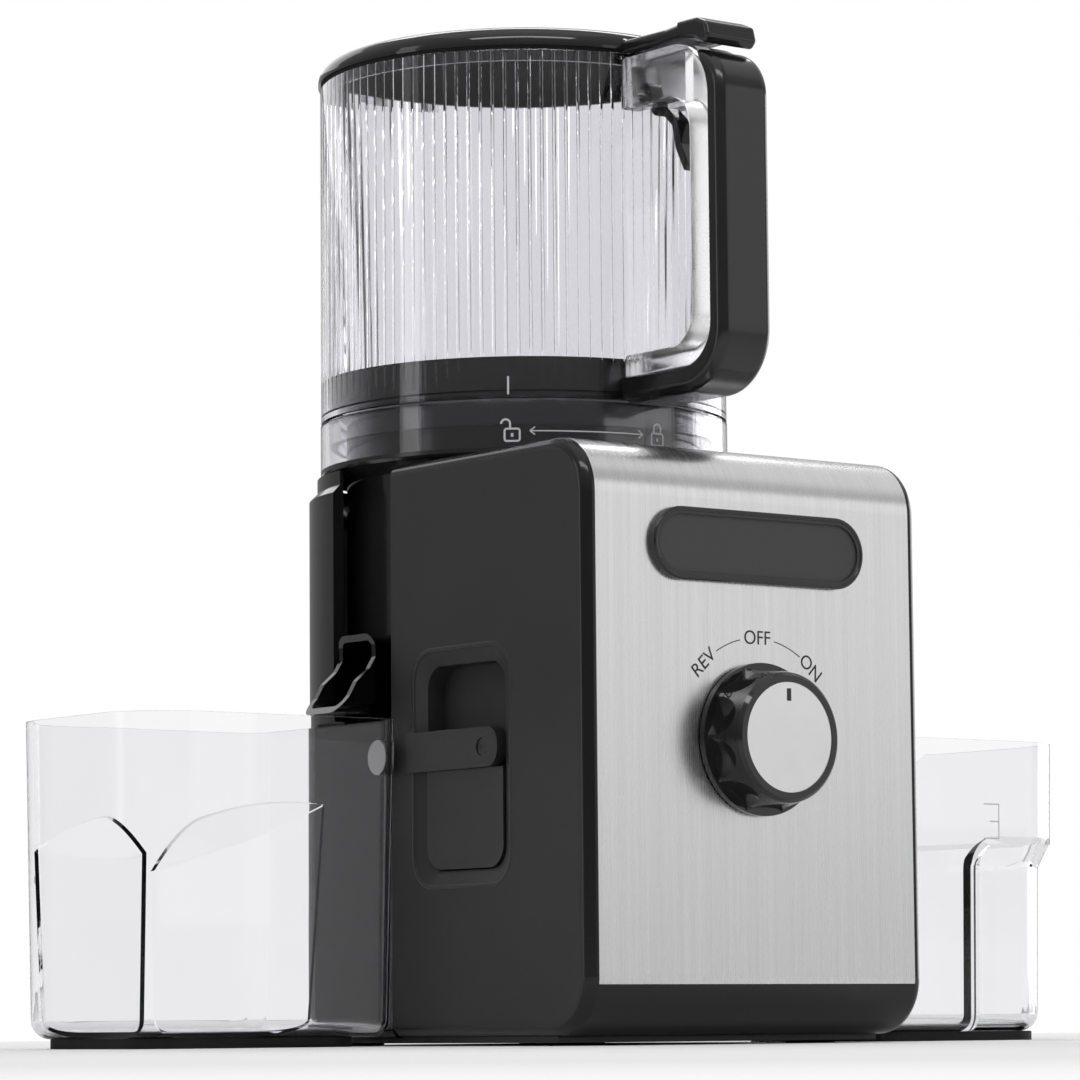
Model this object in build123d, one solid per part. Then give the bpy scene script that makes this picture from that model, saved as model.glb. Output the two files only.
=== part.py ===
from build123d import *
import math
import os

# Slow juicer with an upright screw, in millimetres, +Z up and the front towards -Y.
# Every piece is drawn about the hopper's axis with the floor at Z = 0. The export moves them all so that
# the origin is the bottom centre of the whole set.

# Body
HALF_WIDTH = 75.0
FRONT_Y = -134.0
SIDE_REAR_Y = -20.0
BODY_BOTTOM = 3.0
BODY_TOP = 207.0
PROFILE_R = 20.0
EDGE_R = 4.5
WALL = 3.5
REAR_R = 80.0
BAY_R = 72.0
BAY_FLOOR = 115.0
PILLAR_Y = 10.0
PILLAR_TOP = 203.0
PILLAR_IN_R = 75.5
PILLAR_LIP_R = 77.0
PILLAR_LIP_TOP = 208.3
CUP_GAP = 1.5

# Steel panel, badge and dial
STEEL_HALF = 70.5
STEEL_T = 1.0
STEEL_LOW = 20.5
STEEL_BACK_Y = -50.0
COLLAR_GAP_R = 77.5
BADGE_WIDTH = 94.0
BADGE_HEIGHT = 25.0
BADGE_T = 2.4
BADGE_Z = 171.0
BADGE_RIM = 2.5
BADGE_SUNK = 0.7
DIAL_Z = 104.5
DIAL_BASE_R = 26.5
DIAL_FRONT_R = 21.25
DIAL_CAP_R = 19.0
DIAL_DEPTH = 17.0
DIAL_GAP = 0.5
DIAL_SCALLOPS = 10
DIAL_FLANGE = 2.5
THUMB_R = 20.0
THUMB_REACH = 42.2
THUMB_Y = 8.0
BUSH_R = 5.0
BUSH_GAP = 0.2
SPINDLE_R = 3.0
SPINDLE_END_Y = -124.0
SWITCH_HALF = 12.0
SWITCH_FRONT_Y = -129.5
SWITCH_BACK_Y = -112.0
BOARD_FRONT_Y = -118.2
BOARD_BACK_Y = -116.6
BOARD_HALF = 46.0
BOARD_LOW = 126.0
BOARD_HIGH = 192.0
PEG_X = 38.0
PEG_R = 3.0
PEG_HEIGHTS = (132.0, 186.0)

# Docking pocket in each side
POCKET_Y = -62.0
POCKET_Z = 97.0
POCKET_WIDTH = 46.0
POCKET_HEIGHT = 72.0
POCKET_R = 8.0
POCKET_LIP = 6.0
POCKET_LIP_DEPTH = 2.5
POCKET_DEPTH = 10.0
BAR_LOW = 96.0
BAR_HIGH = 110.0
BAR_REAR_Y = -30.0
BAR_MID = (BAR_LOW + BAR_HIGH) / 2
DOCK_SCREW_Y = -75.6
DOCK_PEG_Y = -48.0
DOCK_BACK_X = 71.5
DOCK_PLATE_X = 73.5
DOCK_FACE_X = 76.0
DOCK_STRAP_X = 75.05
DOCK_HEAD_X = 74.6
DOCK_HEAD_R = 3.0
DOCK_END_R = 6.0
DOCK_GAP = 0.4

# Bottom cover, feet and gland
COVER_LOW = 1.0
COVER_HIGH = 6.2
COVER_GAP = 0.3
COVER_FRONT_Y = -112.0
FOOT_R = 9.0
FOOT_SPOTS = [(-52, -98), (52, -98), (-42, 48), (42, 48)]
SCREW_SPOTS = [(-67.3, -90), (67.3, -90), (-67.3, -32), (67.3, -32), (-50, 52), (50, 52)]
SCREW_R = 1.5
SCREW_HEAD_R = 3.0
SCREW_HEAD_T = 1.8
SCREW_TOP_Z = 18.0
BOSS_R = 4.5
BOSS_TOP = 26.0
BOSS_HOLE_TOP = 20.0
HOLE_GAP = 0.1
GLAND_Z = 24.0
GLAND_R = 7.0
GLAND_OUT = 5.0

# Drive
GEAR_MODULE = 2.0
GEAR_TEETH = 54
PINION_TEETH = 18
GEAR_BACKLASH = 0.35
GEAR_LOW = 20.0
GEAR_HIGH = 32.0
MOTOR_Y = -GEAR_MODULE * (GEAR_TEETH + PINION_TEETH) / 2
MOTOR_R = 30.0
MOTOR_LOW = 44.0
MOTOR_HIGH = 104.0
PLATE_LOW = 38.0
POST_SPOTS = [(-46, -98), (46, -98), (-54, 36), (54, 36)]
SHAFT_R = 7.0
SHAFT_FLATS = 12.0
SHAFT_TOP = 164.0
MOTOR_SHAFT_R = 4.0
RUNNING_GAP = 0.05
BEARING_R = 15.0
BEARING_LOW = 8.0
BEARING_HIGH = 17.0
BEARING_T = 10.0
BEARING_TOP = BAY_FLOOR - 9.0
SEAT_WALL = 4.0
SEAL_R = 12.0
SEAL_T = 4.0
SEAT_GAP = 0.02

# Drum and screw
DRUM_R = 66.0
DRUM_WALL = 3.5
DRUM_LOW = 118.0
COLLAR_R = 75.7
COLLAR_LOW = 209.0
COLLAR_TOP = 229.0
COLLAR_IN_R = 72.8
RING_LOW = 211.5
CORE_TOP = 228.5
HUB_R = 16.0
HUB_TOP = 134.0
HUB_HOLE_R = 8.5
STRAINER_R = 47.0
SCREW_OUT_R = 44.5
SCREW_LOW = 140.0
SCREW_TOP = 196.0
SCREW_FLIGHTS = 3
SCREW_SECTIONS = 9
SCREW_TWIST = 160.0
FEED_TOP = 238.0
BLADE_LOW = 208.0
BLADE_T = 2.0
BLADE_HALF = 5.0
BLADE_REACH = 57.0
BLADE_RISE = 11.0
PULP_SPOUT = (-15.0, 8.0, 118.0, 147.0)
JUICE_SPOUT = (-18.5, -6.5, 118.0, 136.0)
SPOUT_END = 100.0
PULP_MOUTH = [(80.0, 148.0), (78.4, 143.0), (78.2, 138.5), (81.0, 134.0), (86.4, 129.4), (89.4, 124.2),
              (96.0, 117.0)]
JUICE_MOUTH = [(92.0, 137.0), (99.0, 123.0), (99.5, 117.0)]
SPOUT_T = 2.4
SPOUT_R = 5.0

# Hopper, handle and lid
HOPPER_R = 75.5
HOPPER_WALL = 3.0
HOPPER_LOW = 229.4
HOPPER_TOP = 356.0
SPIGOT_LOW = 220.0
SPIGOT_R = 72.4
FLOOR_HOLE_R = 49.0
GRIP_Y = -131.5
GRIP_HALF = 11.8
GRIP_LOW = 228.0
GRIP_HIGH = 350.0
GRIP_LOW_R = 22.0
GRIP_HIGH_R = 17.0
GRIP_EDGE_R = 4.0
GRIP_INNER_R = 0.6
BAND_Y = -124.5
BAND_HALF = 10.2
BAND_LOW = 237.0
BAND_LOW_R = 15.0
BAND_HIGH_R = 22.0
BAND_EDGE_R = 1.2
GAP_Y = -112.0
GAP_LOW = 245.5
GAP_HIGH = 335.0
GAP_R = 12.0
ARM_TOP = 354.0
ARM_REAR_Y = -70.0
LEVER_Y = -82.0
LEVER_Z = 340.0
LEVER_HALF = 2.6
LEVER_T = 3.4
LEVER_BEND = 2.5
LEVER_BARREL_R = 4.0
LEVER_PIN_R = 1.6
LEVER_PATH = [(LEVER_Y, LEVER_Z), (-83.5, 334.0), (-90.0, 332.5), (-95.0, 328.0), (-97.0, 319.0),
              (-101.5, 310.5)]
LEVER_ROOM = 0.6
LID_R = 76.3
LID_LOW = 357.0
LID_TOP = 364.5
LID_SKIRT_LOW = 352.0
LID_EDGE_R = 6.5
LID_IN_R = 69.0
LID_T = 2.5
TAB_HALF = 11.5
TAB_ARM_HALF = 11.0
TAB_ROOT_Y = -60.0
TAB_NECK_Y = -108.0
TAB_ARM = [(TAB_ROOT_Y, 357.0), (-76.0, 355.2), (-112.0, 355.2), (-112.0, 360.9), (-100.0, 360.0),
           (-77.0, 360.4), (-72.0, 362.5), (TAB_ROOT_Y, 362.5)]
TAB_HOOD = [(TAB_NECK_Y, 355.2), (-116.5, 353.8), (-122.3, 350.8), (-125.0, 353.4), (-123.6, 358.6),
            (-118.0, 361.0), (TAB_NECK_Y, 361.2)]
TAB_BEND = 0.8
TAB_MID_Z = 358.5
TAB_ARM_R = 2.0
TAB_HOOD_R = 1.6
TAB_CORNER_R = 5.0
HINGE_Y = 83.0
HINGE_Z = 360.0
HINGE_R = 4.0
HINGE_PIN_R = 1.8
HINGE_PIN_HALF = 15.0
KNUCKLE_HALF = 8.6
LUG_IN_X = 9.0
LUG_OUT_X = 15.0
LUG_LOW = 350.0
PIN_REACH = 20.0

# Containers
PULP_CUP_HEIGHT = 115.0
JUICE_CUP_HEIGHT = 111.0
CUP_WALL = 2.4
CUP_FLOOR = 3.4
CUP_HEEL_R = 6.5
CUP_FOOT_INSET = 9.0
CUP_FOOT_T = 3.0
CUP_OUTER_R = 26.0
CUP_INNER_R = 9.5
CUP_DRAFT = 1.2
PULP_CUP = (-188.0, -77.5, -32.0, 62.0)
JUICE_CUP = (78.0, 188.0, -97.0, -3.0)
SCOOP_R = 160.0
SCOOP_DEPTH = 8.0
SCOOP_SLOPE = 2.0
SCOOP_START = 10.0
SCOOP_PUSH = 50.0
SCOOP_BELOW = 60.0
SCOOP_FRONT_X = -159.5
SCOOP_SIDE_Y = -7.5
SCOOP_FRONT_ARCH = [(-205.0, 56.0), (-149.0, 83.0), (-100.0, 83.5)]
SCOOP_SIDE_ARCH = [(-55.0, 64.0), (6.0, 80.5), (60.0, 75.0)]
STEP_X = 137.0
STEP_Z = 73.0
STEP_DEPTH = 4.5
STEP_R = 10.0
STEP_FLARE = 9.0
NOTCH_SIZE = 7.0
NOTCH_LENGTH = 14.0
DISC_R = 6.25
DISC_Z = 102.0
DISC_BACK = 13.0
DISC_T = 2.2
DISC_COVER = 1.1

# The whole set's middle, which becomes the origin
MID_X = (PULP_CUP[0] + JUICE_CUP[1]) / 2
MID_Y = (FRONT_Y - DIAL_DEPTH + HINGE_Y + HINGE_R) / 2


def block(x0, x1, y0, y1, z0, z1):
    """Box between two corners."""
    return Pos((x0 + x1) / 2, (y0 + y1) / 2, (z0 + z1) / 2) * Box(x1 - x0, y1 - y0, z1 - z0)


def disc(radius, z0, z1, x=0, y=0):
    """Upright cylinder between two heights."""
    return Pos(x, y, (z0 + z1) / 2) * Cylinder(radius, z1 - z0)


def tube(outer, inner, z0, z1, x=0, y=0):
    """Upright ring between two heights."""
    return disc(outer, z0, z1, x, y) - disc(inner, z0 - 1, z1 + 1, x, y)


def rod_x(radius, x0, x1, y, z):
    """Cylinder along X."""
    return Pos((x0 + x1) / 2, y, z) * Rot(0, 90, 0) * Cylinder(radius, x1 - x0)


def rod_y(radius, y0, y1, x, z):
    """Cylinder along Y."""
    return Pos(x, (y0 + y1) / 2, z) * Rot(90, 0, 0) * Cylinder(radius, y1 - y0)


def side_rect(y0, y1, z0, z1, front_low=0, front_high=0):
    """Rectangle seen from the side, with its two front corners rounded."""
    face = make_face(Polyline((y0, z0), (y1, z0), (y1, z1), (y0, z1), close=True))
    for height, radius in ((z0, front_low), (z1, front_high)):
        if radius:
            corner = face.vertices().sort_by_distance((y0, height, 0))[0]
            face = fillet(corner, radius)
    return face


def slab(face, x0, x1):
    """Extrude a side view outline from one X to another."""
    return extrude(Plane.YZ.offset(x0) * face, x1 - x0)


def turned(points):
    """Solid of revolution about the hopper's axis from (radius, height) points."""
    return revolve(Plane.XZ * make_face(Polyline(*points, close=True)), Axis.Z)


def body_outline(inset):
    """Side view of the front housing, drawn in by one distance at the front and the top."""
    radius = PROFILE_R - inset
    return side_rect(FRONT_Y + inset, SIDE_REAR_Y, BODY_BOTTOM + inset, BODY_TOP - inset, radius, radius)


def pocket_section(side, x, grow):
    """Rounded rectangle of the docking pocket at one X."""
    plane = Plane(origin=(side * x, POCKET_Y, POCKET_Z), x_dir=(0, 1, 0), z_dir=(1, 0, 0))
    return plane * RectangleRounded(POCKET_WIDTH + 2 * grow, POCKET_HEIGHT + 2 * grow, POCKET_R + grow / 2)


def pocket(side):
    """Hollow of one docking pocket, with its sloped lip."""
    lip_x = HALF_WIDTH - POCKET_LIP_DEPTH
    lip = loft([pocket_section(side, HALF_WIDTH + 0.02, POCKET_LIP), pocket_section(side, lip_x, 0)])
    well = extrude(pocket_section(side, HALF_WIDTH - POCKET_DEPTH, 0), side * (POCKET_DEPTH - 1))
    return lip + well


def pocket_tray(side):
    """Wall that closes one docking pocket towards the inside."""
    inner = pocket_section(side, HALF_WIDTH - POCKET_DEPTH - 2, 2)
    return extrude(inner, side * POCKET_DEPTH)


def steel_panel_block():
    """Sheet over the front and the top, before its holes."""
    sheet = slab(body_outline(0), -STEEL_HALF, STEEL_HALF)
    sheet -= slab(body_outline(STEEL_T), -HALF_WIDTH, HALF_WIDTH)
    sheet -= block(-HALF_WIDTH, HALF_WIDTH, FRONT_Y - 1, 0, 0, STEEL_LOW)
    sheet -= block(-HALF_WIDTH, HALF_WIDTH, STEEL_BACK_Y, 1, 0, BODY_TOP + 1)
    return sheet - disc(COLLAR_GAP_R, BODY_TOP - 5, BODY_TOP + 1)


def front_housing():
    outer = slab(body_outline(0), -HALF_WIDTH, HALF_WIDTH)
    sides = [e for e in outer.edges() if abs(abs(e.center().X) - HALF_WIDTH) < 0.01]
    outer = fillet([e for e in sides if e.center().Y < SIDE_REAR_Y - 1], EDGE_R)
    inner_half = HALF_WIDTH - WALL
    hollow = slab(side_rect(FRONT_Y + WALL, SIDE_REAR_Y + 1, BODY_BOTTOM + WALL, BODY_TOP - WALL,
                            PROFILE_R - WALL, PROFILE_R - WALL), -inner_half, inner_half)
    hollow -= disc(BAY_R + WALL, BAY_FLOOR - WALL, BODY_TOP)
    mouth = block(-inner_half, inner_half, COVER_FRONT_Y, SIDE_REAR_Y + 1, 0, BODY_BOTTOM + WALL + 0.1)
    shell = outer - hollow - mouth
    for side in (-1, 1):
        shell += pocket_tray(side)
        shell -= pocket(side)
    shell -= disc(BAY_R, BAY_FLOOR, BODY_TOP + 1)
    for x, y in SCREW_SPOTS[:4]:
        shell += disc(BOSS_R, COVER_HIGH + HOLE_GAP, BOSS_TOP, x, y)
        shell -= disc(SCREW_R + HOLE_GAP, 0, BOSS_HOLE_TOP, x, y)
    for x in (-PEG_X, PEG_X):
        for z in PEG_HEIGHTS:
            shell += rod_y(PEG_R, FRONT_Y + WALL - 0.5, BOARD_FRONT_Y, x, z)
    shell -= rod_y(BUSH_R + BUSH_GAP, FRONT_Y - 1, FRONT_Y + WALL + 1, 0, DIAL_Z)
    return shell - steel_panel_block()


def rear_housing():
    half = block(-HALF_WIDTH, HALF_WIDTH, SIDE_REAR_Y, REAR_R + 1, 0, BODY_TOP)
    lower = disc(REAR_R, BODY_BOTTOM, BAY_FLOOR) & half
    rims = [e for e in lower.edges() if abs(e.center().Z - BODY_BOTTOM) < 0.01]
    lower = fillet([e for e in rims if e.center().Y > SIDE_REAR_Y + 1], 3.0)
    inner = disc(REAR_R - WALL, 0, BAY_FLOOR - WALL)
    inner &= block(-HALF_WIDTH + WALL, HALF_WIDTH - WALL, SIDE_REAR_Y - 1, REAR_R, 0, BODY_TOP)
    pillar = tube(REAR_R, PILLAR_IN_R, BAY_FLOOR - 1, PILLAR_TOP)
    top_edge = [e for e in pillar.edges() if abs(e.center().Z - PILLAR_TOP) < 0.01]
    pillar = chamfer([max(top_edge, key=lambda e: e.length)], 3.0)
    pillar += tube(PILLAR_LIP_R, PILLAR_IN_R, PILLAR_TOP - 1, PILLAR_LIP_TOP)
    room = block(-REAR_R, REAR_R, PILLAR_Y, REAR_R + 1, BAY_FLOOR + CUP_GAP, PILLAR_LIP_TOP)
    pillar &= room + block(-HALF_WIDTH, HALF_WIDTH, PILLAR_Y, REAR_R + 1, 0, PILLAR_LIP_TOP)
    shell = lower - inner + pillar
    shell += disc(BEARING_R + SEAT_WALL, BEARING_TOP - BEARING_T, BAY_FLOOR - 1)
    shell -= disc(BEARING_R + SEAT_GAP, BEARING_TOP - BEARING_T - 1, BEARING_TOP)
    shell -= disc(SHAFT_R + 2, BEARING_TOP - 1, BAY_FLOOR + 1)
    shell -= disc(SEAL_R + SEAT_GAP, BAY_FLOOR - SEAL_T, BAY_FLOOR + 1)
    for x, y in SCREW_SPOTS[4:]:
        shell += disc(BOSS_R, COVER_HIGH + HOLE_GAP, BOSS_TOP, x, y)
        shell -= disc(SCREW_R + HOLE_GAP, 0, BOSS_HOLE_TOP, x, y)
    return shell - rod_y(GLAND_R - 2, 60, REAR_R + 2, 0, GLAND_Z)


def front_panel():
    return steel_panel_block() - rod_y(BUSH_R + BUSH_GAP, FRONT_Y - 1, FRONT_Y + 2, 0, DIAL_Z)


def badge_plate():
    plane = Plane(origin=(0, FRONT_Y, BADGE_Z), x_dir=(1, 0, 0), z_dir=(0, -1, 0))
    plate = extrude(plane * SlotOverall(BADGE_WIDTH, BADGE_HEIGHT), BADGE_T)
    field = SlotOverall(BADGE_WIDTH - 2 * BADGE_RIM, BADGE_HEIGHT - 2 * BADGE_RIM)
    return plate - extrude(plane.offset(BADGE_T - BADGE_SUNK) * field, 1)


def bottom_cover():
    inner_half = HALF_WIDTH - WALL - COVER_GAP
    plate = block(-inner_half, inner_half, COVER_FRONT_Y + COVER_GAP, SIDE_REAR_Y, COVER_LOW, COVER_HIGH)
    rear = disc(REAR_R - WALL - COVER_GAP, COVER_LOW, COVER_HIGH)
    plate += rear & block(-inner_half, inner_half, SIDE_REAR_Y - 1, REAR_R, 0, 20)
    plate += tube(BEARING_R + SEAT_WALL - 1, BEARING_R + SEAT_GAP, COVER_HIGH - 1, BEARING_HIGH)
    for x, y in POST_SPOTS:
        plate += disc(4, COVER_HIGH - 1, PLATE_LOW, x, y)
    for x, y in SCREW_SPOTS:
        plate -= disc(SCREW_R + HOLE_GAP, 0, COVER_HIGH + 1, x, y)
        plate -= disc(SCREW_HEAD_R + 2 * HOLE_GAP, 0, COVER_LOW + SCREW_HEAD_T, x, y)
    for row in range(6):
        plate -= block(-18, 18, -92 + row * 8, -88 + row * 8, 0, 10)
    return plate


def rubber_feet():
    feet = Part()
    for x, y in FOOT_SPOTS:
        feet += foot(x, y)
    return feet


def foot(x, y):
    """Low rubber foot with a rounded lower edge."""
    pad = disc(FOOT_R, 0, COVER_LOW, x, y)
    return fillet(pad.edges().group_by(Axis.Z)[0], 0.8)


def cover_screws():
    screws = Part()
    for x, y in SCREW_SPOTS:
        screws += disc(SCREW_HEAD_R, COVER_LOW + HOLE_GAP, COVER_LOW + SCREW_HEAD_T, x, y)
        screws += disc(SCREW_R, COVER_LOW + 1, SCREW_TOP_Z, x, y)
    return screws


def dock_bracket(side):
    """Keeper bar and plate in one docking pocket."""
    low_y = POCKET_Y - POCKET_WIDTH / 2 + DOCK_GAP
    high_y = POCKET_Y + POCKET_WIDTH / 2 - DOCK_GAP
    low_z = POCKET_Z - POCKET_HEIGHT / 2 + DOCK_GAP
    bar = block(DOCK_BACK_X, DOCK_FACE_X, low_y, high_y, BAR_LOW, BAR_HIGH)
    bar += block(DOCK_STRAP_X, DOCK_FACE_X, high_y - 1, BAR_REAR_Y, BAR_LOW, BAR_HIGH)
    ends = [e for e in bar.edges().filter_by(Axis.X) if abs(e.center().Y - low_y) < 0.01]
    bar = fillet(ends, DOCK_END_R)
    plate = block(DOCK_BACK_X, DOCK_PLATE_X, low_y, high_y, low_z, BAR_LOW + 0.01)
    corners = [e for e in plate.edges().filter_by(Axis.X) if abs(e.center().Z - low_z) < 0.01]
    plate = fillet(corners, POCKET_R)
    piece = bar + plate
    for y in (DOCK_SCREW_Y, DOCK_PEG_Y):
        piece += rod_x(DOCK_HEAD_R + 1, HALF_WIDTH - POCKET_DEPTH + SEAT_GAP, DOCK_BACK_X + 0.5, y, BAR_MID)
    piece -= rod_x(DOCK_HEAD_R + 2 * HOLE_GAP, DOCK_HEAD_X, DOCK_FACE_X + 1, DOCK_SCREW_Y, BAR_MID)
    return piece if side > 0 else mirror(piece, Plane.YZ)


def dock_screws():
    screw = rod_x(DOCK_HEAD_R, DOCK_HEAD_X, DOCK_HEAD_X + 1, DOCK_SCREW_Y, BAR_MID)
    screw -= block(DOCK_HEAD_X + 0.6, DOCK_FACE_X + 1, DOCK_SCREW_Y - 2, DOCK_SCREW_Y + 2,
                   BAR_MID - 0.4, BAR_MID + 0.4)
    return screw + mirror(screw, Plane.YZ)


def cord_gland():
    gland = rod_y(GLAND_R - 2.1, 72, REAR_R + GLAND_OUT, 0, GLAND_Z)
    gland += rod_y(GLAND_R, REAR_R + 0.05, REAR_R + 2, 0, GLAND_Z)
    return gland - rod_y(3, 70, REAR_R + GLAND_OUT + 1, 0, GLAND_Z)


def motor_can():
    can = disc(MOTOR_R, MOTOR_LOW, MOTOR_HIGH - 12, 0, MOTOR_Y)
    can = fillet(can.edges().group_by(Axis.Z)[0], 2.0)
    return can - disc(MOTOR_SHAFT_R + RUNNING_GAP, MOTOR_LOW - 1, MOTOR_LOW + 8, 0, MOTOR_Y)


def motor_end_cap():
    cap = disc(MOTOR_R - 3, MOTOR_HIGH - 12, MOTOR_HIGH - 3, 0, MOTOR_Y)
    return cap + disc(8, MOTOR_HIGH - 3, MOTOR_HIGH, 0, MOTOR_Y)


def motor_plate():
    plate = block(-52, 52, -104, 20, PLATE_LOW, PLATE_LOW + 3)
    for x, y in POST_SPOTS[2:]:
        plate += block(x - 6, x + 6, 10, y + 6, PLATE_LOW, PLATE_LOW + 3)
    plate += tube(MOTOR_R, MOTOR_R - 4, PLATE_LOW + 2, MOTOR_LOW, 0, MOTOR_Y)
    plate -= disc(SHAFT_R + 4, PLATE_LOW - 1, PLATE_LOW + 4)
    return plate - disc(MOTOR_SHAFT_R + 4, PLATE_LOW - 1, PLATE_LOW + 4, 0, MOTOR_Y)


def plate_screws():
    screws = Part()
    for x, y in POST_SPOTS:
        screws += disc(3.2, PLATE_LOW + 3, PLATE_LOW + 5, x, y)
    return screws


def rotary_switch():
    case = block(-SWITCH_HALF, SWITCH_HALF, SWITCH_FRONT_Y, SWITCH_BACK_Y,
                 DIAL_Z - SWITCH_HALF, DIAL_Z + SWITCH_HALF)
    case += rod_y(BUSH_R, FRONT_Y - 2.6, SWITCH_FRONT_Y + 0.5, 0, DIAL_Z)
    for x in (-SWITCH_HALF / 2, 0, SWITCH_HALF / 2):
        case += block(x - 1.5, x + 1.5, SWITCH_BACK_Y - 0.5, SWITCH_BACK_Y + 6, DIAL_Z - 9, DIAL_Z - 8)
    return case - rod_y(SPINDLE_R + RUNNING_GAP, FRONT_Y - 5, SPINDLE_END_Y, 0, DIAL_Z)


def switch_nut():
    plane = Plane(origin=(0, FRONT_Y, DIAL_Z), x_dir=(1, 0, 0), z_dir=(0, -1, 0))
    nut = extrude(plane * RegularPolygon(7.5, 6), 2.5)
    return nut - rod_y(BUSH_R, FRONT_Y - 5, FRONT_Y + 1, 0, DIAL_Z)


def control_board():
    return block(-BOARD_HALF, BOARD_HALF, BOARD_FRONT_Y, BOARD_BACK_Y, BOARD_LOW, BOARD_HIGH)


def board_components():
    parts = block(-34, -8, BOARD_BACK_Y, BOARD_BACK_Y + 22.6, BOARD_LOW + 12, BOARD_LOW + 38)
    parts += block(2, 14, BOARD_BACK_Y, BOARD_BACK_Y + 10.6, BOARD_LOW + 6, BOARD_LOW + 24)
    parts += rod_y(7, BOARD_BACK_Y, BOARD_BACK_Y + 18.6, 30, BOARD_LOW + 50)
    parts += block(14, 36, BOARD_BACK_Y, BOARD_BACK_Y + 8.6, BOARD_LOW + 30, BOARD_LOW + 34)
    return parts


def lower_bearing():
    return tube(BEARING_R, SHAFT_R + RUNNING_GAP, BEARING_LOW, BEARING_HIGH)


def upper_bearing():
    return tube(BEARING_R, SHAFT_R + RUNNING_GAP, BEARING_TOP - BEARING_T, BEARING_TOP)


def shaft_seal():
    return tube(SEAL_R, SHAFT_R + RUNNING_GAP, BAY_FLOOR - SEAL_T, BAY_FLOOR + 0.5)


def gear_outline(teeth):
    """Involute gear outline with one tooth centred on +X, thinned for backlash."""
    pressure = math.radians(20)
    pitch_r = GEAR_MODULE * teeth / 2
    base_r = pitch_r * math.cos(pressure)
    tip_r = pitch_r + 0.9 * GEAR_MODULE
    root_r = pitch_r - 1.2 * GEAR_MODULE
    half_pitch = math.pi / (2 * teeth) - GEAR_BACKLASH / (2 * pitch_r)

    def half_angle(radius):
        turn = math.acos(min(1.0, base_r / radius))
        return half_pitch + math.tan(pressure) - pressure - math.tan(turn) + turn

    low_r = max(base_r, root_r)
    flank = [low_r + (tip_r - low_r) * step / 3 for step in range(4)]
    rising = [(root_r, half_angle(low_r))]
    rising += [(radius, half_angle(radius)) for radius in flank if radius > root_r]
    points = []
    for tooth in range(teeth):
        centre = 2 * math.pi * tooth / teeth
        polar = [(r, centre - a) for r, a in rising] + [(r, centre + a) for r, a in reversed(rising)]
        points += [(r * math.cos(a), r * math.sin(a)) for r, a in polar]
    return make_face(Polyline(*points, close=True))


def drive_gear():
    turn = -90 + 180 / GEAR_TEETH
    gear = extrude(Pos(0, 0, GEAR_LOW) * Rot(0, 0, turn) * gear_outline(GEAR_TEETH), GEAR_HIGH - GEAR_LOW)
    for spoke in range(6):
        gear -= Rot(0, 0, 60 * spoke) * disc(9, GEAR_LOW - 1, GEAR_HIGH + 1, 32, 0)
    gear += disc(14, GEAR_HIGH - 1, GEAR_HIGH + 4)
    return gear - disc(SHAFT_R, GEAR_LOW - 1, GEAR_HIGH + 5)


def drive_shaft():
    hexagon = RegularPolygon(SHAFT_FLATS / 2, 6, major_radius=False)
    key = extrude(Pos(0, 0, BAY_FLOOR + 1) * hexagon, SHAFT_TOP - BAY_FLOOR - 1)
    return disc(SHAFT_R, BEARING_LOW + 0.5, BAY_FLOOR + 2) + key


def motor_pinion():
    outline = Pos(0, MOTOR_Y, GEAR_LOW - 1) * Rot(0, 0, 90) * gear_outline(PINION_TEETH)
    return extrude(outline, GEAR_HIGH - GEAR_LOW + 2) - disc(MOTOR_SHAFT_R, 0, PLATE_LOW, 0, MOTOR_Y)


def motor_shaft():
    return disc(MOTOR_SHAFT_R, GEAR_LOW - 3, MOTOR_LOW + 7, 0, MOTOR_Y)


def knob_skirt():
    start = FRONT_Y - DIAL_GAP
    front = FRONT_Y - DIAL_DEPTH
    shoulder = start - DIAL_FLANGE
    points = [(0, start), (DIAL_BASE_R, start), (DIAL_BASE_R, shoulder), (DIAL_BASE_R - 1.5, shoulder - 1),
              (DIAL_FRONT_R + 1.2, front + 1.2), (DIAL_FRONT_R, front), (DIAL_CAP_R, front),
              (DIAL_CAP_R, front + 1.5), (0, front + 1.5)]
    body = revolve(make_face(Polyline(*points, close=True)), Axis.Y)
    room = block(-HALF_WIDTH, HALF_WIDTH, front, shoulder, -HALF_WIDTH, HALF_WIDTH)
    for scallop in range(DIAL_SCALLOPS):
        angle = math.radians(360 / DIAL_SCALLOPS * scallop)
        thumb = Pos(THUMB_REACH * math.sin(angle), start - THUMB_Y, THUMB_REACH * math.cos(angle))
        body -= thumb * Sphere(THUMB_R) & room
    body -= rod_y(10, start - 4, start + 1, 0, 0)
    return Pos(0, 0, DIAL_Z) * (body - rod_y(SPINDLE_R, front + 3, start + 1, 0, 0))


def knob_cap():
    front = FRONT_Y - DIAL_DEPTH
    return rod_y(DIAL_CAP_R - 0.02, front + 0.3, front + 1.5, 0, DIAL_Z)


def knob_spindle():
    return rod_y(SPINDLE_R, FRONT_Y - DIAL_DEPTH + 3, SPINDLE_END_Y - 0.5, 0, DIAL_Z)


def spout_hollow(spout, grow):
    """Sectional box of a spout along X, grown by a wall."""
    y0, y1, z0, z1 = spout
    bar = block(0, SPOUT_END, y0 + grow, y1 - grow, z0 + grow, z1 - grow)
    return fillet(bar.edges().filter_by(Axis.X), SPOUT_R - grow)


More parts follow.
